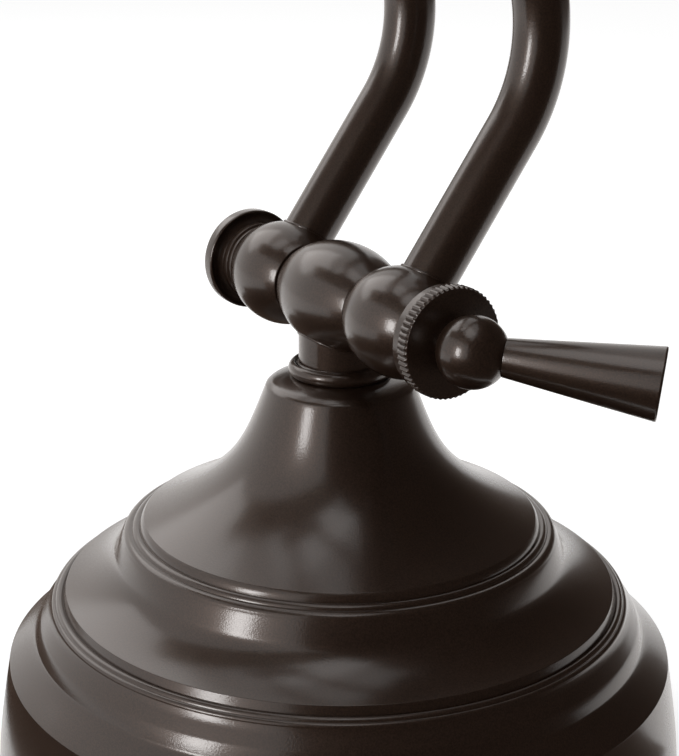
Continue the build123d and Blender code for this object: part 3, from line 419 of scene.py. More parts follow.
# %% Node tree: lathe
def new_tree(name, inputs):
    """Empty geometry tree with named inputs; returns the tree and its input node."""
    tree = bpy.data.node_groups.new(name, "GeometryNodeTree")
    tree.interface.new_socket("Geometry", in_out="INPUT", socket_type="NodeSocketGeometry")
    tree.interface.new_socket("Geometry", in_out="OUTPUT", socket_type="NodeSocketGeometry")
    for label, kind, value in inputs:
        socket = tree.interface.new_socket(label, in_out="INPUT", socket_type="NodeSocket" + kind)
        if value is not None:
            socket.default_value = value
    return tree, tree.nodes.new("NodeGroupInput")


CORNER = 38  # degrees between two faces from which their edge stays sharp


def finish_tree(tree, shape, source):
    """End a tree: smooth shading with sharp corners, Realize Instances and Set Material."""
    angle = add(tree, "GeometryNodeInputMeshEdgeAngle")
    sharp = add(tree, "FunctionNodeCompare", {0: angle.outputs["Unsigned Angle"],
                                              1: radians(CORNER)}, operation="LESS_THAN")
    faces = add(tree, "GeometryNodeSetShadeSmooth", {"Geometry": shape, "Shade Smooth": True},
                domain="FACE")
    edges = add(tree, "GeometryNodeSetShadeSmooth", {"Geometry": faces.outputs[0],
                                                     "Shade Smooth": sharp.outputs[0]}, domain="EDGE")
    real = add(tree, "GeometryNodeRealizeInstances", {"Geometry": edges.outputs[0]})
    done = add(tree, "GeometryNodeSetMaterial", {"Geometry": real.outputs[0],
                                                 "Material": source.outputs["Finish"]})
    out = tree.nodes.new("NodeGroupOutput")
    tree.links.new(done.outputs[0], out.inputs["Geometry"])


def math(tree, operation, a, b=0.0):
    """One sum of two values or sockets."""
    return add(tree, "ShaderNodeMath", {0: a, 1: b}, operation=operation).outputs[0]


lathe, source = new_tree("lathe", [
    ("Segments", "Int", 96), ("Teeth", "Int", 0), ("Tooth Depth", "Float", 0.0),
    ("Tooth Root", "Float", 1.0), ("Tooth Tip", "Float", 2.0), ("Turn", "Vector", (0, 0, 0)),
    ("Place", "Vector", (0, 0, 0)), ("Finish", "Material", None)])
size = add(lathe, "GeometryNodeAttributeDomainSize", {"Geometry": source.outputs["Geometry"]},
           component="MESH")
steps = size.outputs["Point Count"]
columns = math(lathe, "ADD", source.outputs["Segments"], 1)
grid = add(lathe, "GeometryNodeMeshGrid", {"Vertices X": columns, "Vertices Y": steps})
index = add(lathe, "GeometryNodeInputIndex").outputs[0]
half_step = math(lathe, "ADD", index, 0.5)
column = math(lathe, "FLOOR", math(lathe, "DIVIDE", half_step, steps))
row = math(lathe, "SUBTRACT", index, math(lathe, "MULTIPLY", column, steps))
outline_place = add(lathe, "GeometryNodeInputPosition").outputs[0]
sample = add(lathe, "GeometryNodeSampleIndex", {"Geometry": source.outputs["Geometry"],
                                                "Value": outline_place, "Index": row},
             data_type="FLOAT_VECTOR", domain="POINT")
parts = add(lathe, "ShaderNodeSeparateXYZ", {"Vector": sample.outputs[0]})
angle = math(lathe, "MULTIPLY", math(lathe, "DIVIDE", column, source.outputs["Segments"]), 2 * pi)
half_teeth = math(lathe, "MULTIPLY", source.outputs["Teeth"], 0.5)
ridge = math(lathe, "ABSOLUTE", math(lathe, "SINE", math(lathe, "MULTIPLY", angle, half_teeth)))
groove = math(lathe, "SUBTRACT", 1.0, ridge)
on_rim = add(lathe, "ShaderNodeMapRange", {"Value": parts.outputs["X"],
                                           "From Min": source.outputs["Tooth Root"],
                                           "From Max": source.outputs["Tooth Tip"]})
dip = math(lathe, "MULTIPLY", math(lathe, "MULTIPLY", groove, on_rim.outputs[0]),
           source.outputs["Tooth Depth"])
radius = math(lathe, "SUBTRACT", parts.outputs["X"], dip)
turned_place = add(lathe, "ShaderNodeCombineXYZ", {
    "X": math(lathe, "MULTIPLY", radius, math(lathe, "COSINE", angle)),
    "Y": math(lathe, "MULTIPLY", radius, math(lathe, "SINE", angle)),
    "Z": parts.outputs["Z"]})
shaped = add(lathe, "GeometryNodeSetPosition", {"Geometry": grid.outputs["Mesh"],
                                                "Position": turned_place.outputs[0]})
closed = add(lathe, "GeometryNodeMergeByDistance", {"Geometry": shaped.outputs[0],
                                                    "Distance": 0.0005 * MM})
turn = add(lathe, "FunctionNodeEulerToRotation", {"Euler": source.outputs["Turn"]})
placed = add(lathe, "GeometryNodeTransform", {"Geometry": closed.outputs[0],
                                              "Translation": source.outputs["Place"],
                                              "Rotation": turn.outputs[0]})
finish_tree(lathe, placed.outputs[0], source)
print("lathe tree:", len(lathe.nodes), "nodes")

# %% [markdown]
# ## Running a tree
# `grow` hands an outline or a path to a tree, sets the tree's inputs and keeps the result as a
# plain mesh. The inputs are set by their identifiers, before Blender first evaluates the object.
# The modifier is gone before the piece is tied to its body, so what rides is a mesh and no more.

# %% Grow a piece from a tree
def grow(name, tree, points, values, node=None, closed_path=False):
    """Run a tree on a line of points in metres and keep the mesh; it stands for a CAD node."""
    count = len(points)
    links = [(k, k + 1) for k in range(count - 1)]
    if closed_path:
        links.append((count - 1, 0))
    line = bpy.data.meshes.new(name + "_line")
    line.from_pydata(points, links, [])
    piece = put_in_scene(line, name)
    modifier = piece.modifiers.new("grow", "NODES")
    modifier.node_group = tree
    for socket in tree.interface.items_tree:
        if socket.in_out == "INPUT" and socket.name in values:
            modifier[socket.identifier] = values[socket.name]
    evaluated = piece.evaluated_get(bpy.context.evaluated_depsgraph_get())
    mesh = bpy.data.meshes.new_from_object(evaluated)
    piece.modifiers.clear()
    mesh.name = name
    piece.data = mesh
    bpy.data.meshes.remove(line)
    if node:
        stand_for(piece, node)
    return piece


def stand_for(piece, node):
    """Tie a piece to the body of the CAD node that it replaces, and hide that node."""
    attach(piece, nodes[node]["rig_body"])
    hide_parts(node)


def point_out(piece):
    """Make the faces of a closed piece point outwards."""
    shape = bmesh.new()
    shape.from_mesh(piece.data)
    if shape.calc_volume(signed=True) < 0:
        bmesh.ops.reverse_faces(shape, faces=shape.faces)
        shape.to_mesh(piece.data)
    shape.free()


# %% [markdown]
# ## Outlines
# A turner reads a drawing as straight cuts, round mouldings and flares. `Outline` collects those
# cuts as points of (radius, height). No lacquered edge is truly sharp, and a soft edge is what
# catches the light, so `soften` rounds each corner by about a quarter of a millimetre. It also
# adds a point close on either side, which keeps the flats flat in the smooth shading.

# %% Outline drawing
class Outline:
    """Outline of a turned piece: points of (radius, height along the axis), in millimetres."""

    def __init__(self, *points):
        self.points = list(points)

    def to(self, *points):
        """Straight cuts."""
        self.points.extend(points)
        return self

    def arc(self, through, end, steps=12):
        """Round cut through a point."""
        (ax, ay), (bx, by), (cx, cy) = self.points[-1], through, end
        d = 2 * (ax * (by - cy) + bx * (cy - ay) + cx * (ay - by))
        a2, b2, c2 = ax * ax + ay * ay, bx * bx + by * by, cx * cx + cy * cy
        mx = (a2 * (by - cy) + b2 * (cy - ay) + c2 * (ay - by)) / d
        my = (a2 * (cx - bx) + b2 * (ax - cx) + c2 * (bx - ax)) / d
        r = hypot(ax - mx, ay - my)
        start, middle, stop = (atan2(y - my, x - mx) for x, y in ((ax, ay), (bx, by), (cx, cy)))
        sweep = (stop - start) % (2 * pi)
        if (middle - start) % (2 * pi) > sweep:
            sweep -= 2 * pi
        for k in range(1, steps + 1):
            t = start + sweep * k / steps
            self.points.append((mx + r * cos(t), my + r * sin(t)))
        return self

    def moulding(self, end, rise, steps=10):
        """Round moulding that stands proud of the straight line to its end."""
        (ax, ay), (bx, by) = self.points[-1], end
        length = hypot(bx - ax, by - ay)
        crest = ((ax + bx) / 2 - rise * (by - ay) / length, (ay + by) / 2 + rise * (bx - ax) / length)
        return self.arc(crest, end, steps)

    def bezier(self, leave, arrive, end, steps=24):
        """Smooth curve with two handles."""
        start = self.points[-1]
        for k in range(1, steps + 1):
            t = k / steps
            weights = ((1 - t) ** 3, 3 * t * (1 - t) ** 2, 3 * t * t * (1 - t), t ** 3)
            corners = (start, leave, arrive, end)
            self.points.append(tuple(sum(w * p[i] for w, p in zip(weights, corners)) for i in (0, 1)))
        return self

    def flare(self, start_slope, start_pull, end, end_slope, end_pull, steps=12):
        """Smooth curve between two slopes, in degrees below level."""
        (x, y), a, b = self.points[-1], radians(start_slope), radians(end_slope)
        leave = (x + start_pull * cos(a), y - start_pull * sin(a))
        arrive = (end[0] - end_pull * cos(b), end[1] + end_pull * sin(b))
        return self.bezier(leave, arrive, end, steps)


def soften(points, radius=0.25, hold=0.05, corner=20.0):
    """Round the corners of an outline and hold the flats beside them."""
    soft = [points[0]]
    for before, here, after in zip(points, points[1:], points[2:]):
        ux, uy = before[0] - here[0], before[1] - here[1]
        vx, vy = after[0] - here[0], after[1] - here[1]
        u, v = hypot(ux, uy), hypot(vx, vy)
        between = acos(max(-1.0, min(1.0, (ux * vx + uy * vy) / (u * v))))
        if degrees(between) > 180 - corner:
            soft.append(here)
            continue
        cut = min(radius / tan(between / 2), 0.3 * u, 0.3 * v)
        start = (here[0] + ux / u * cut, here[1] + uy / u * cut)
        stop = (here[0] + vx / v * cut, here[1] + vy / v * cut)
        if u > 4 * cut:
            soft.append((start[0] + ux / u * hold, start[1] + uy / u * hold))
        for k in range(5):
            t = k / 4
            w = ((1 - t) ** 2, 2 * t * (1 - t), t * t)
            soft.append(tuple(w[0] * start[i] + w[1] * here[i] + w[2] * stop[i] for i in (0, 1)))
        if v > 4 * cut:
            soft.append((stop[0] + vx / v * hold, stop[1] + vy / v * hold))
    soft.append(points[-1])
    return soft


def turned(name, node, outline, at=((0, 0, 0), (0, 0, 1)), segments=128, radius=0.25, knurl=None):
    """Turn an outline on the lathe. at is a point of the axis and its direction, in millimetres."""
    points = [(r * MM, 0, h * MM) for r, h in soften(outline.points, radius)]
    origin, axis = at
    values = {"Segments": segments, "Finish": FINISHES[slot_of[node]],
              "Turn": Vector(axis).to_track_quat("Z", "Y").to_euler(),
              "Place": Vector(origin) * MM}
    if knurl:
        teeth, depth, root, tip = knurl
        values.update({"Teeth": teeth, "Tooth Depth": depth * MM, "Tooth Root": root * MM,
                       "Tooth Tip": tip * MM})
    piece = grow(name, lathe, points, values, node)
    point_out(piece)
    return piece


print("outline tools ready")

# %% [markdown]
# ## The base
# The base is one spun shell: a bell that flares out of a rounded rim, then two tiers of coved
# rings, and a nearly upright wall. Each ring is a groove and two small beads, pressed in on the
# spinning lathe. The shell is carried down and round its inside as well, so that it is a real
# wall. At the back a hole is cut for the cord's bushing.

# %% Base shell
SEAT = 18.9
PIPE_FIT_R = 5.05


def drop(radius, below):
    """Point of the base, given by its drop below the lower pivot."""
    return (radius, PIVOT_Z - below)


foot = drop(84.3, 119.2)
# the rounded rim and the bell
shell = Outline(drop(PIPE_FIT_R, SEAT), drop(12.2, SEAT))
shell.flare(14, 1.2, drop(16.4, 20.3), 26, 1.4, 8)
shell.flare(36, 0.6, drop(17.84, 21.6), 68.4, 0.6, 8)
shell.flare(68.4, 15.4, drop(47.49, 53.91), 24.1, 24.2, 48)
# the first ring: a groove and two beads, then the cove of the second tier
shell.moulding(drop(48.6, 55.95), 0.2, 6)
shell.moulding(drop(50.43, 56.8), 0.5).moulding(drop(52.62, 57.95), 0.5)
shell.flare(55, 0.6, drop(54.5, 62.6), 71, 2.5)
shell.flare(71, 2.6, drop(66.8, 70.73), 17, 7.5, 20)
# the second ring, then the third tier
shell.to(drop(67.55, 72.9))
shell.moulding(drop(69.4, 73.3), 0.6).moulding(drop(70.4, 74.2), 0.3)
shell.flare(76, 0.3, drop(71.4, 76.05), 54, 0.9).flare(54, 0.6, drop(73.0, 78.3), 54, 0.5, 6)
shell.flare(54, 0.9, drop(74.4, 81.7), 72, 0.9, 16)
shell.flare(72, 1.0, drop(81.0, 88.0), 42, 3.0, 20)
# the wall and its foot
shell.flare(79.8, 8.0, drop(84.76, 114.6), 88, 8.0)
shell.to(drop(84.9, 118.4)).arc(drop(84.75, 118.95), foot, 5)
# the inside of the sheet, from the foot back up to the pipe
shell.to(drop(83.2, 119.2), drop(82.9, 113.0), drop(78.7, 90.4), drop(75.6, 86.4), drop(70.6, 80.6))
shell.to(drop(68.4, 76.4), drop(64.9, 72.9), drop(57.0, 70.3), drop(52.6, 65.6), drop(50.0, 60.4))
shell.to(drop(45.6, 56.9)).bezier(drop(28.4, 51.6), drop(17.7, 37.0), drop(14.4, 25.7), 10)
shell.to(drop(13.4, 24.5), drop(PIPE_FIT_R, 24.5), drop(PIPE_FIT_R, SEAT))
base = turned("turned_base", "base_shell", shell, segments=240, radius=0.2)
print("base:", len(base.data.polygons), "faces")

# %% Cord hole
INLET_Z = 12.0


def mark_corners(mesh, corner=CORNER):
    """Shade smooth, with a sharp edge wherever two faces meet at a real corner."""
    shape = bmesh.new()
    shape.from_mesh(mesh)
    for face in shape.faces:
        face.smooth = True
    for edge in shape.edges:
        edge.smooth = edge.calc_face_angle(0) < radians(corner)
    shape.to_mesh(mesh)
    shape.free()


def plug(radius, start, end, sides=64):
    """Closed cylinder along +Y at the cord's way in, as vertices and faces."""
    ring = [(radius * cos(2 * pi * k / sides), radius * sin(2 * pi * k / sides)) for k in range(sides)]
    corners = [(x * MM, y * MM, (INLET_Z + z) * MM) for y in (start, end) for x, z in ring]
    walls = [(k, sides + k, sides + (k + 1) % sides, (k + 1) % sides) for k in range(sides)]
    return corners, walls + [tuple(range(sides)), tuple(reversed(range(sides, 2 * sides)))]


# the wide cut is the seat of the bushing's flange, the narrow one lets its neck through the sheet
FLANGE_CUT = (6.4, 83.0, 92.0)
NECK_CUT = (4.6, 78.0, 92.0)
for radius, start, end in (FLANGE_CUT, NECK_CUT):
    drill_mesh = bpy.data.meshes.new("drill")
    corners, faces = plug(radius, start, end)
    drill_mesh.from_pydata(corners, [], faces)
    drill = put_in_scene(drill_mesh, "drill")
    cut = base.modifiers.new("cut", "BOOLEAN")
    cut.object, cut.operation, cut.solver = drill, "DIFFERENCE", "EXACT"
    evaluated = base.evaluated_get(bpy.context.evaluated_depsgraph_get())
    drilled = bpy.data.meshes.new_from_object(evaluated)
    base.modifiers.clear()
    base.data = drilled
    bpy.data.objects.remove(drill)
mark_corners(base.data)
print("base with its cord hole:", len(base.data.polygons), "faces")

# %% [markdown]
# ## Neck of the base
# A round check ring sits on the bell's rim and a short stem stands in it. The stem ends in a thin
# lip, and its top goes into the middle bead of the knuckle.

# %% Check ring and stem
STEM_R = 10.0
STEM_FOOT = 16.3
STEM_TOP = 7.9

ring = Outline(drop(PIPE_FIT_R, SEAT), drop(11.5, SEAT))
ring.arc(drop(12.1, SEAT - 0.45), drop(12.4, SEAT - 1.3), 6)
ring.arc(drop(12.2, SEAT - 2.5), drop(11.25, 15.6), 12)
ring.to(drop(11.0, 15.65), drop(10.6, STEM_FOOT), drop(PIPE_FIT_R, STEM_FOOT), drop(PIPE_FIT_R, SEAT))
turned("turned_check_ring", "check_ring", ring, radius=0.12)

stem = Outline(drop(PIPE_FIT_R, STEM_FOOT), drop(10.45, STEM_FOOT), drop(10.45, STEM_FOOT - 0.15))
stem.arc(drop(10.3, STEM_FOOT - 0.45), drop(STEM_R, STEM_FOOT - 0.65), 6)
stem.to(drop(STEM_R, STEM_TOP), drop(PIPE_FIT_R, STEM_TOP), drop(PIPE_FIT_R, STEM_FOOT))
turned("turned_stem", "stem", stem, radius=0.08)
print("check ring and stem turned")

# %% [markdown]
# ## Knuckles
# Each knuckle is three barrel-shaped beads on one bolt. The middle bead is a little fatter and
# belongs to the base below, or to the shade above. The outer beads carry the arm tubes and turn
# round it. On the left the bolt's head is hidden in a flanged cap behind a small stepped ring.

# %% Beads, end rings and caps
LOWER = (0.0, PIVOT_Z)
UPPER = (-83.744, 299.909)
BOLT_FIT_R = 4.05
SEAM_R = 8.9
EDGE = 0.6
CENTRE_HALF = 14.7
OUTER_NEAR, OUTER_FAR = 15.25, 36.55
OUTER_MIDDLE = (OUTER_NEAR + OUTER_FAR) / 2
OUTER_BARREL = (12.6, 9.6)
CENTRE_BARREL = (12.9, 9.3)


def pivot_line(pivot):
    """A pivot axis as a point and a direction."""
    return (0, *pivot), (1, 0, 0)


def barrel(near, far, radii):
    """Outline of a bead: radii are at its crest and at the shoulders, where the edges round over."""
    crest, shoulder = radii
    half, rise = (far - near) / 2 - EDGE, crest - shoulder
    edge_r = shoulder - EDGE * half / (arc_radius(half, rise) - rise)
    bead = Outline((BOLT_FIT_R, near), (SEAM_R, near))
    bead.bezier((edge_r, near), (edge_r, near), (shoulder, near + EDGE), 10)
    bead.arc((crest, (near + far) / 2), (shoulder, far - EDGE), 40)
    bead.bezier((edge_r, far), (edge_r, far), (SEAM_R, far), 10)
    return bead.to((BOLT_FIT_R, far), (BOLT_FIT_R, near))


def arc_radius(half, rise):
    """Radius of an arc of a given half width and rise."""
    return (half ** 2 + rise ** 2) / (2 * rise)


RING_T = 4.95
RING_X = -OUTER_FAR - 0.05
CAP_X = RING_X - RING_T
CAP_T = 3.9


def end_ring(near):
    """Outline of the stepped ring beyond the left bead."""
    step = Outline((BOLT_FIT_R, near), (9.1, near), (9.5, near - 0.3), (9.5, near - 1.0))
    step.to((9.2, near - 1.2), (9.5, near - 1.4), (9.9, near - 1.7), (9.9, near - 3.1))
    step.arc((9.6, near - 3.9), (8.9, near - 4.2), 8)
    return step.to((8.6, near - RING_T), (BOLT_FIT_R, near - RING_T), (BOLT_FIT_R, near))


def end_cap(near):
    """Outline of the flanged cap, hollow towards the beads."""
    far = near - CAP_T
    cap = Outline((BOLT_FIT_R, near), (8.6, near)).arc((10.6, near - 0.9), (12.1, near - 0.2))
    cap.arc((12.45, near - 0.5), (12.55, near - 0.9), 6).to((12.55, far + 0.8))
    cap.arc((12.3, far + 0.25), (11.7, far), 6)
    cap.to((10.2, far)).arc((5.1, far - 0.45), (0, far - 0.6), 10)
    return cap.to((0, near - 2.6), (BOLT_FIT_R, near - 2.6), (BOLT_FIT_R, near))


for place, pivot in (("lower", LOWER), ("upper", UPPER)):
    line = pivot_line(pivot)
    turned(f"{place}_middle_barrel", f"{place}_centre_bead",
           barrel(-CENTRE_HALF, CENTRE_HALF, CENTRE_BARREL), line)
    turned(f"{place}_left_barrel", f"{place}_left_bead",
           barrel(-OUTER_FAR, -OUTER_NEAR, OUTER_BARREL), line)
    turned(f"{place}_right_barrel", f"{place}_right_bead",
           barrel(OUTER_NEAR, OUTER_FAR, OUTER_BARREL), line)
    turned(f"{place}_stepped_ring", f"{place}_end_ring", end_ring(RING_X), line, radius=0.12)
    turned(f"{place}_flanged_cap", f"{place}_end_cap", end_cap(CAP_X), line, radius=0.15)
print("two knuckles of five turned pieces")

# %% [markdown]
# ## Clamps
# The lower knuckle is locked by a lever: a ball screwed on the bolt, with a tapered handle. Between
# the ball and the bead a knurled ring sets how stiffly the arms move before they are locked. The
# upper knuckle has a plain knurled knob. A straight knurl is rolled, not cut, so its ridges are
# round and its grooves are sharp, which is what the lathe tree's teeth are. Each ridge gets ten
# segments of the lathe, so that it stays round.

# %% Knurled ring, ball, handle and knob
PER_TOOTH = 10
KNURL_X = 37.1
RIM_END = KNURL_X + 8.2
rim = Outline((BOLT_FIT_R, KNURL_X), (9.2, KNURL_X), (9.6, KNURL_X + 0.3), (11.7, KNURL_X + 2.5))
rim.to((12.0, KNURL_X + 2.9), (12.0, KNURL_X + 4.8), (12.5, KNURL_X + 5.1), (12.5, RIM_END - 0.5))
rim.to((12.0, RIM_END), (BOLT_FIT_R, RIM_END), (BOLT_FIT_R, KNURL_X))
turned("rolled_ring", "knurled_ring", rim, pivot_line(LOWER), 58 * PER_TOOTH, 0.15,
       (58, 0.5, 12.05, 12.45))

BALL_X, BALL_R, BALL_NECK_R = 52.05, 7.95, 5.0
HANDLE_WAY = (0.705, 0.703, -0.10)
neck_x = RIM_END + 0.05
meet_x = BALL_X - sqrt(BALL_R ** 2 - BALL_NECK_R ** 2)
ball = Outline((0, neck_x), (BALL_NECK_R, neck_x), (BALL_NECK_R, meet_x))
ball.arc((BALL_R, BALL_X), (0, BALL_X + BALL_R), 56)
turned("turned_ball", "ball_hub", ball, pivot_line(LOWER), radius=0.2)

handle = Outline((0, 6.3), (3.95, 6.3), (4.2, 7.1), (7.95, 39.7), (0, 39.7))
turned("tapered_handle", "lever_handle", handle, ((BALL_X, *LOWER), HANDLE_WAY), radius=0.45)

knob = Outline((BOLT_FIT_R, KNURL_X), (9.4, KNURL_X), (9.4, KNURL_X + 1.2), (11.0, KNURL_X + 1.2))
knob.to((11.0, KNURL_X + 7.8)).arc((5.5, KNURL_X + 9.46), (0, KNURL_X + 10.0), 16)
knob.to((0, KNURL_X + 8.1), (BOLT_FIT_R, KNURL_X + 8.1), (BOLT_FIT_R, KNURL_X))
turned("rolled_knob", "lock_knob", knob, pivot_line(UPPER), 44 * PER_TOOTH, 0.15,
       (44, 0.62, 9.9, 10.9))
print("clamps made")

# %% [markdown]
# ## Tubes
# The arms are half-inch steel tube, bent once on a former and brazed into the outer beads. The
# second node tree follows a path: it turns the path's points into a curve and sweeps a circle
# along it. The same tree makes the arms and the fine braze line round each tube's foot, which
# lies on the curve where the tube meets the barrel.

# %% Node tree: swept tube
tube, source = new_tree("swept_tube", [("Radius", "Float", 0.001), ("Sides", "Int", 64),
                                       ("Finish", "Material", None)])
path = add(tube, "GeometryNodeMeshToCurve", {"Mesh": source.outputs["Geometry"]})
circle = add(tube, "GeometryNodeCurvePrimitiveCircle", {"Resolution": source.outputs["Sides"],
                                                        "Radius": source.outputs["Radius"]})
swept = add(tube, "GeometryNodeCurveToMesh", {"Curve": path.outputs[0],
                                              "Profile Curve": circle.outputs["Curve"],
                                              "Fill Caps": True})
finish_tree(tube, swept.outputs[0], source)
print("tube tree:", len(tube.nodes), "nodes")

# %% Arms and braze lines
TUBE_R = 6.35
LEAN, FORWARD = radians(35.54), radians(50.0)
BEND_R = 38.1
STRAIGHT = 49.0
REACH = 138.0
TUBE_END = 7.0


def arm_path():
    """Path of an arm in its own plane, as (y, z) in millimetres."""
    bend_start = (STRAIGHT * sin(LEAN), PIVOT_Z + STRAIGHT * cos(LEAN))
    middle = (bend_start[0] - BEND_R * cos(LEAN), bend_start[1] + BEND_R * sin(LEAN))
    track = [(TUBE_END * sin(LEAN), PIVOT_Z + TUBE_END * cos(LEAN))]
    steps = 56
    for k in range(steps + 1):
        turn = -LEAN + (LEAN + FORWARD) * k / steps
        track.append((middle[0] + BEND_R * cos(turn), middle[1] + BEND_R * sin(turn)))
    last = track[-1]
    run = REACH - TUBE_END
    track.append((last[0] - run * sin(FORWARD), last[1] + run * cos(FORWARD)))
    return track


def braze_path(x, pivot, way, radius, radii, half, steps=96):
    """Closed curve where a round piece leaves a barrel; way is its (y, z) direction."""
    crest, shoulder = radii
    belly = arc_radius(half - EDGE, crest - shoulder)
    across = (-way[1], way[0])
    curve = []
    for k in range(steps):
        turn = 2 * pi * k / steps
        dx, side = radius * cos(turn), radius * sin(turn)
        barrel_r = crest - belly + sqrt(belly ** 2 - dx ** 2)
        out = sqrt(barrel_r ** 2 - side ** 2)
        curve.append(((x + dx) * MM, (pivot[0] + way[0] * out + across[0] * side) * MM,
                      (pivot[1] + way[1] * out + across[1] * side) * MM))
    return curve


def braze_line(name, body, path, thickness):
    """Fine bead of braze along a closed path."""
    braze = grow(name, tube, path, {"Radius": thickness * MM, "Sides": 10,
                                    "Finish": FINISHES["bronze"]}, closed_path=True)
    point_out(braze)
    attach(braze, body)


OUTER_HALF = (OUTER_FAR - OUTER_NEAR) / 2
BRAZE_R, STEM_BRAZE_R = TUBE_R + 0.12, STEM_R + 0.05
for hand, x in (("left", -OUTER_MIDDLE), ("right", OUTER_MIDDLE)):
    points = [(x * MM, y * MM, z * MM) for y, z in arm_path()]
    arm = grow(f"bent_{hand}_tube", tube, points,
               {"Radius": TUBE_R * MM, "Sides": 72, "Finish": FINISHES["bronze"]}, f"{hand}_arm")
    point_out(arm)
    for place, pivot, way in (("lower", LOWER, (sin(LEAN), cos(LEAN))),
                              ("upper", UPPER, (sin(FORWARD), -cos(FORWARD)))):
        braze_line(f"{place}_{hand}_braze", "arms",
                   braze_path(x, pivot, way, BRAZE_R, OUTER_BARREL, OUTER_HALF), 0.38)
braze_line("stem_braze", "base",
           braze_path(0, LOWER, (0, -1), STEM_BRAZE_R, CENTRE_BARREL, CENTRE_HALF), 0.28)
braze_line("shade_stem_braze", "shade",
           braze_path(0, UPPER, (-1, 0), STEM_BRAZE_R, CENTRE_BARREL, CENTRE_HALF), 0.28)
print("two arms and six braze lines")

# %% [markdown]
# ## Shade
# The shade is one sheet bent to a trough, with its long edges rolled into a hem, and two pressed
# end plates. Outside it wears the lamp's bronze. Inside it is white enamel, which throws the light
# down on the music. The sheet is drawn as its cross section and pulled out along its length.

# %% Folded sheet and end plates
SHADE = (-150.194, 310.909)
SHADE_R = 44.45
SHEET = 1.0
SKIRT = 23.0
SHADE_HALF = 176.3
PRESSED_CORNER = 25  # the pressed step of an end plate is a shallow corner


def in_the_trough(y, z, x=0.0):
    """True on the inside of the shade, which is enamelled."""
    return hypot(y - SHADE[0], max(z - SHADE[1], 0)) < SHADE_R - SHEET / 2 and abs(x) < SHADE_HALF + 0.2


def trough_section():
    """Closed cross section of the sheet as (y, z): outside, hem, inside and the other hem."""
    lines = Outline((SHADE_R, 0)).arc((0, SHADE_R), (-SHADE_R, 0), 72)
    hem_y, low = SHADE_R - SHEET / 2, -SKIRT
    lines.to((-SHADE_R, low + 1.2)).arc((-hem_y - 1.2, low - 0.5), (-SHADE_R + SHEET, low - 1.2), 12)
    lines.to((-SHADE_R + SHEET, 0)).arc((0, SHADE_R - SHEET), (SHADE_R - SHEET, 0), 72)
    lines.to((SHADE_R - SHEET, low - 1.2)).arc((hem_y + 1.2, low - 0.5), (SHADE_R, low + 1.2), 12)
    return [(SHADE[0] + y, SHADE[1] + z) for y, z in lines.points]


section = trough_section()
count = len(section)
sheet_mesh = bpy.data.meshes.new("folded_sheet")
ends = [(x * MM, y * MM, z * MM) for x in (-SHADE_HALF, SHADE_HALF) for y, z in section]
walls = [(k, (k + 1) % count, count + (k + 1) % count, count + k) for k in range(count)]
end_faces = [tuple(reversed(range(count))), tuple(range(count, 2 * count))]
sheet_mesh.from_pydata(ends, [], walls + end_faces)
sheet_mesh.materials.append(FINISHES["bronze"])
sheet_mesh.materials.append(enamel)
for face in sheet_mesh.polygons:
    face.material_index = int(in_the_trough(face.center.y / MM, face.center.z / MM))
sheet = put_in_scene(sheet_mesh, "folded_sheet")
stand_for(sheet, "shade_shell")
mark_corners(sheet_mesh)
point_out(sheet)


def pressed_copy(name, node):
    """The CAD piece as a clean mesh of its own, with its inside enamelled."""
    mesh = nodes[node].data.copy()
    mesh.name = name
    shape = bmesh.new()
    shape.from_mesh(mesh)
    bmesh.ops.remove_doubles(shape, verts=shape.verts, dist=0.002 * MM)
    shape.to_mesh(mesh)
    shape.free()
    for layer in [a for a in mesh.attributes if a.name == "custom_normal"]:
        mesh.attributes.remove(layer)
    mesh.materials.clear()
    mesh.materials.append(FINISHES["bronze"])
    mesh.materials.append(enamel)
    for face in mesh.polygons:
        x, y, z = (part / MM for part in face.center)
        face.material_index = int(in_the_trough(y, z, x))
    mark_corners(mesh, PRESSED_CORNER)
    stand_for(put_in_scene(mesh, name), node)


pressed_copy("pressed_end_left", "shade_end_left")
pressed_copy("pressed_end_right", "shade_end_right")
print("shade: one folded sheet and two pressed ends")

# %% [markdown]
# ## Shade mount and switch
# A short stem and a collar carry the shade on the middle bead of the upper knuckle. On the right
# end sits the rotary switch, with a waisted knob whose grip is knurled like the clamps.

# %% Shade stem, collar and switch knob
COLLAR_NEAR, COLLAR_FAR = 18.5, 22.0
ahead = ((0, *UPPER), (0, -1, 0))
shade_stem = Outline((PIPE_FIT_R, STEM_TOP), (STEM_R, STEM_TOP), (STEM_R, COLLAR_NEAR))
shade_stem.to((PIPE_FIT_R, COLLAR_NEAR), (PIPE_FIT_R, STEM_TOP))
turned("turned_shade_stem", "shade_stem", shade_stem, ahead)
collar = Outline((PIPE_FIT_R, COLLAR_NEAR), (10.4, COLLAR_NEAR), (10.4, COLLAR_NEAR + 1.9))
collar.arc((9.93, 21.53), (8.8, COLLAR_FAR), 8)
collar.to((PIPE_FIT_R, COLLAR_FAR), (PIPE_FIT_R, COLLAR_NEAR))
turned("turned_shade_collar", "shade_collar", collar, ahead)

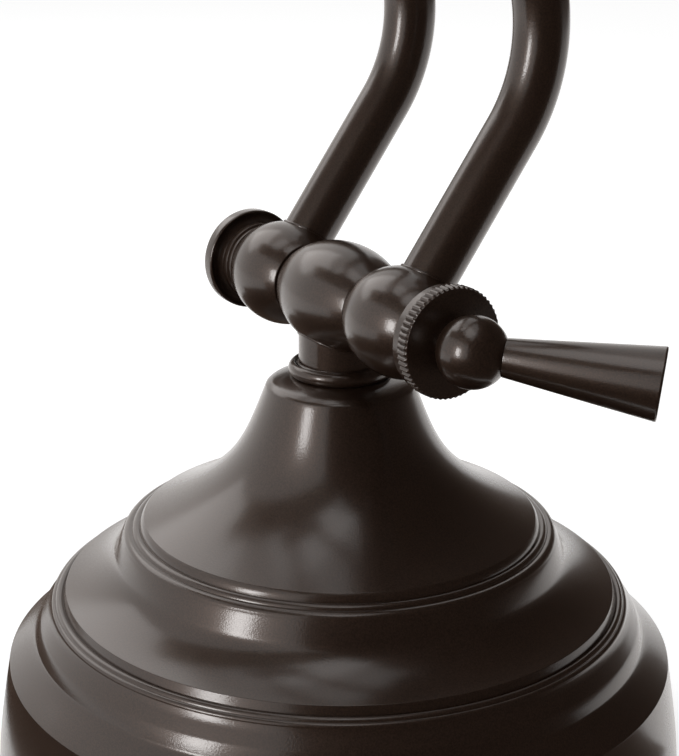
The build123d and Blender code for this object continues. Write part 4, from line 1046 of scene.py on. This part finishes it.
KNOB_X, KNOB_END_X = 183.6, 195.6
grip = Outline((3.05, KNOB_X), (5.6, KNOB_X), (6.0, KNOB_X + 1), (6.0, KNOB_X + 4))
grip.bezier((6.0, KNOB_X + 5.5), (8.0, KNOB_X + 4.8), (8.0, KNOB_X + 6.3), 12)
grip.to((8.0, KNOB_END_X - 1.2)).arc((7.6, KNOB_END_X - 0.3), (6.6, KNOB_END_X), 6)
grip.to((0, KNOB_END_X), (0, KNOB_END_X - 2.9), (3.05, KNOB_END_X - 2.9), (3.05, KNOB_X))
turned("rolled_switch_knob", "switch_knob", grip, pivot_line(SHADE), 32 * PER_TOOTH,
       0.15, (32, 0.6, 6.9, 7.9))
print("shade mount and switch knob turned")

# %% [markdown]
# ## Lamp holder and bulb
# Under the shade a ribbed phenolic holder takes a slim tubular bulb. The holder is turned with the
# lathe tree too: its ribs are the tree's teeth, only fewer and wider, so that a hand can hold it
# while the bulb is screwed in. The bulb is a thin closed shell of frosted glass.

# %% Holder, bulb and ring nut
BULB_Z = 312.909
BULB_LINE = pivot_line((SHADE[0], BULB_Z))
PER_RIB = 8
HOLDER_X = -112.0
holder = Outline((PIPE_FIT_R, HOLDER_X), (11.0, HOLDER_X), (12.5, -109.0))
holder.arc((15.6, -104.0), (17.0, -99.0), 10)
holder.to((17.0, -73.6), (16.2, -73.0), (17.8, -72.4), (17.8, -70.0), (13.5, -70.0), (13.5, -98.0))
holder.to((PIPE_FIT_R, -98.0), (PIPE_FIT_R, HOLDER_X))
turned("ribbed_holder", "lamp_holder", holder, BULB_LINE, 36 * PER_RIB, 0.3, (36, 0.7, 16.3, 16.9))


GLASS = 0.8
NECK_R, NECK_X = 12.4, -89.0
BULB_R, DOME_X, TIP_X = 16.0, 46.0, 62.0


def glass_side(lines, neck, body, tip):
    """Outline of the bulb's glass from its neck to its round end."""
    lines.to((neck, NECK_X), (neck, -68.0)).bezier((neck, -63.0), (body, -61.0), (body, -56.0), 12)
    dome = (body * cos(pi / 4), DOME_X + (tip - DOME_X) * sin(pi / 4))
    return lines.to((body, DOME_X)).arc(dome, (0, tip), 20)


bulb = glass_side(Outline((NECK_R - GLASS, NECK_X)), NECK_R, BULB_R, TIP_X)
inner_wall = glass_side(Outline(), NECK_R - GLASS, BULB_R - GLASS, TIP_X - GLASS)
bulb.to(*reversed(inner_wall.points))
turned("frosted_bulb", "bulb_glass", bulb, BULB_LINE, 96)

NUT_NEAR, NUT_FAR = 179.0, 181.2
nut = Outline((PIPE_FIT_R, NUT_NEAR), (7.5, NUT_NEAR), (7.5, NUT_FAR - 0.5), (7.0, NUT_FAR))
nut.to((PIPE_FIT_R, NUT_FAR), (PIPE_FIT_R, NUT_NEAR))
turned("rolled_ring_nut", "switch_ring_nut", nut, pivot_line(SHADE), 40 * PER_RIB, 0.1,
       (40, 0.35, 7.1, 7.45))
print("holder with 36 ribs, bulb and ring nut")
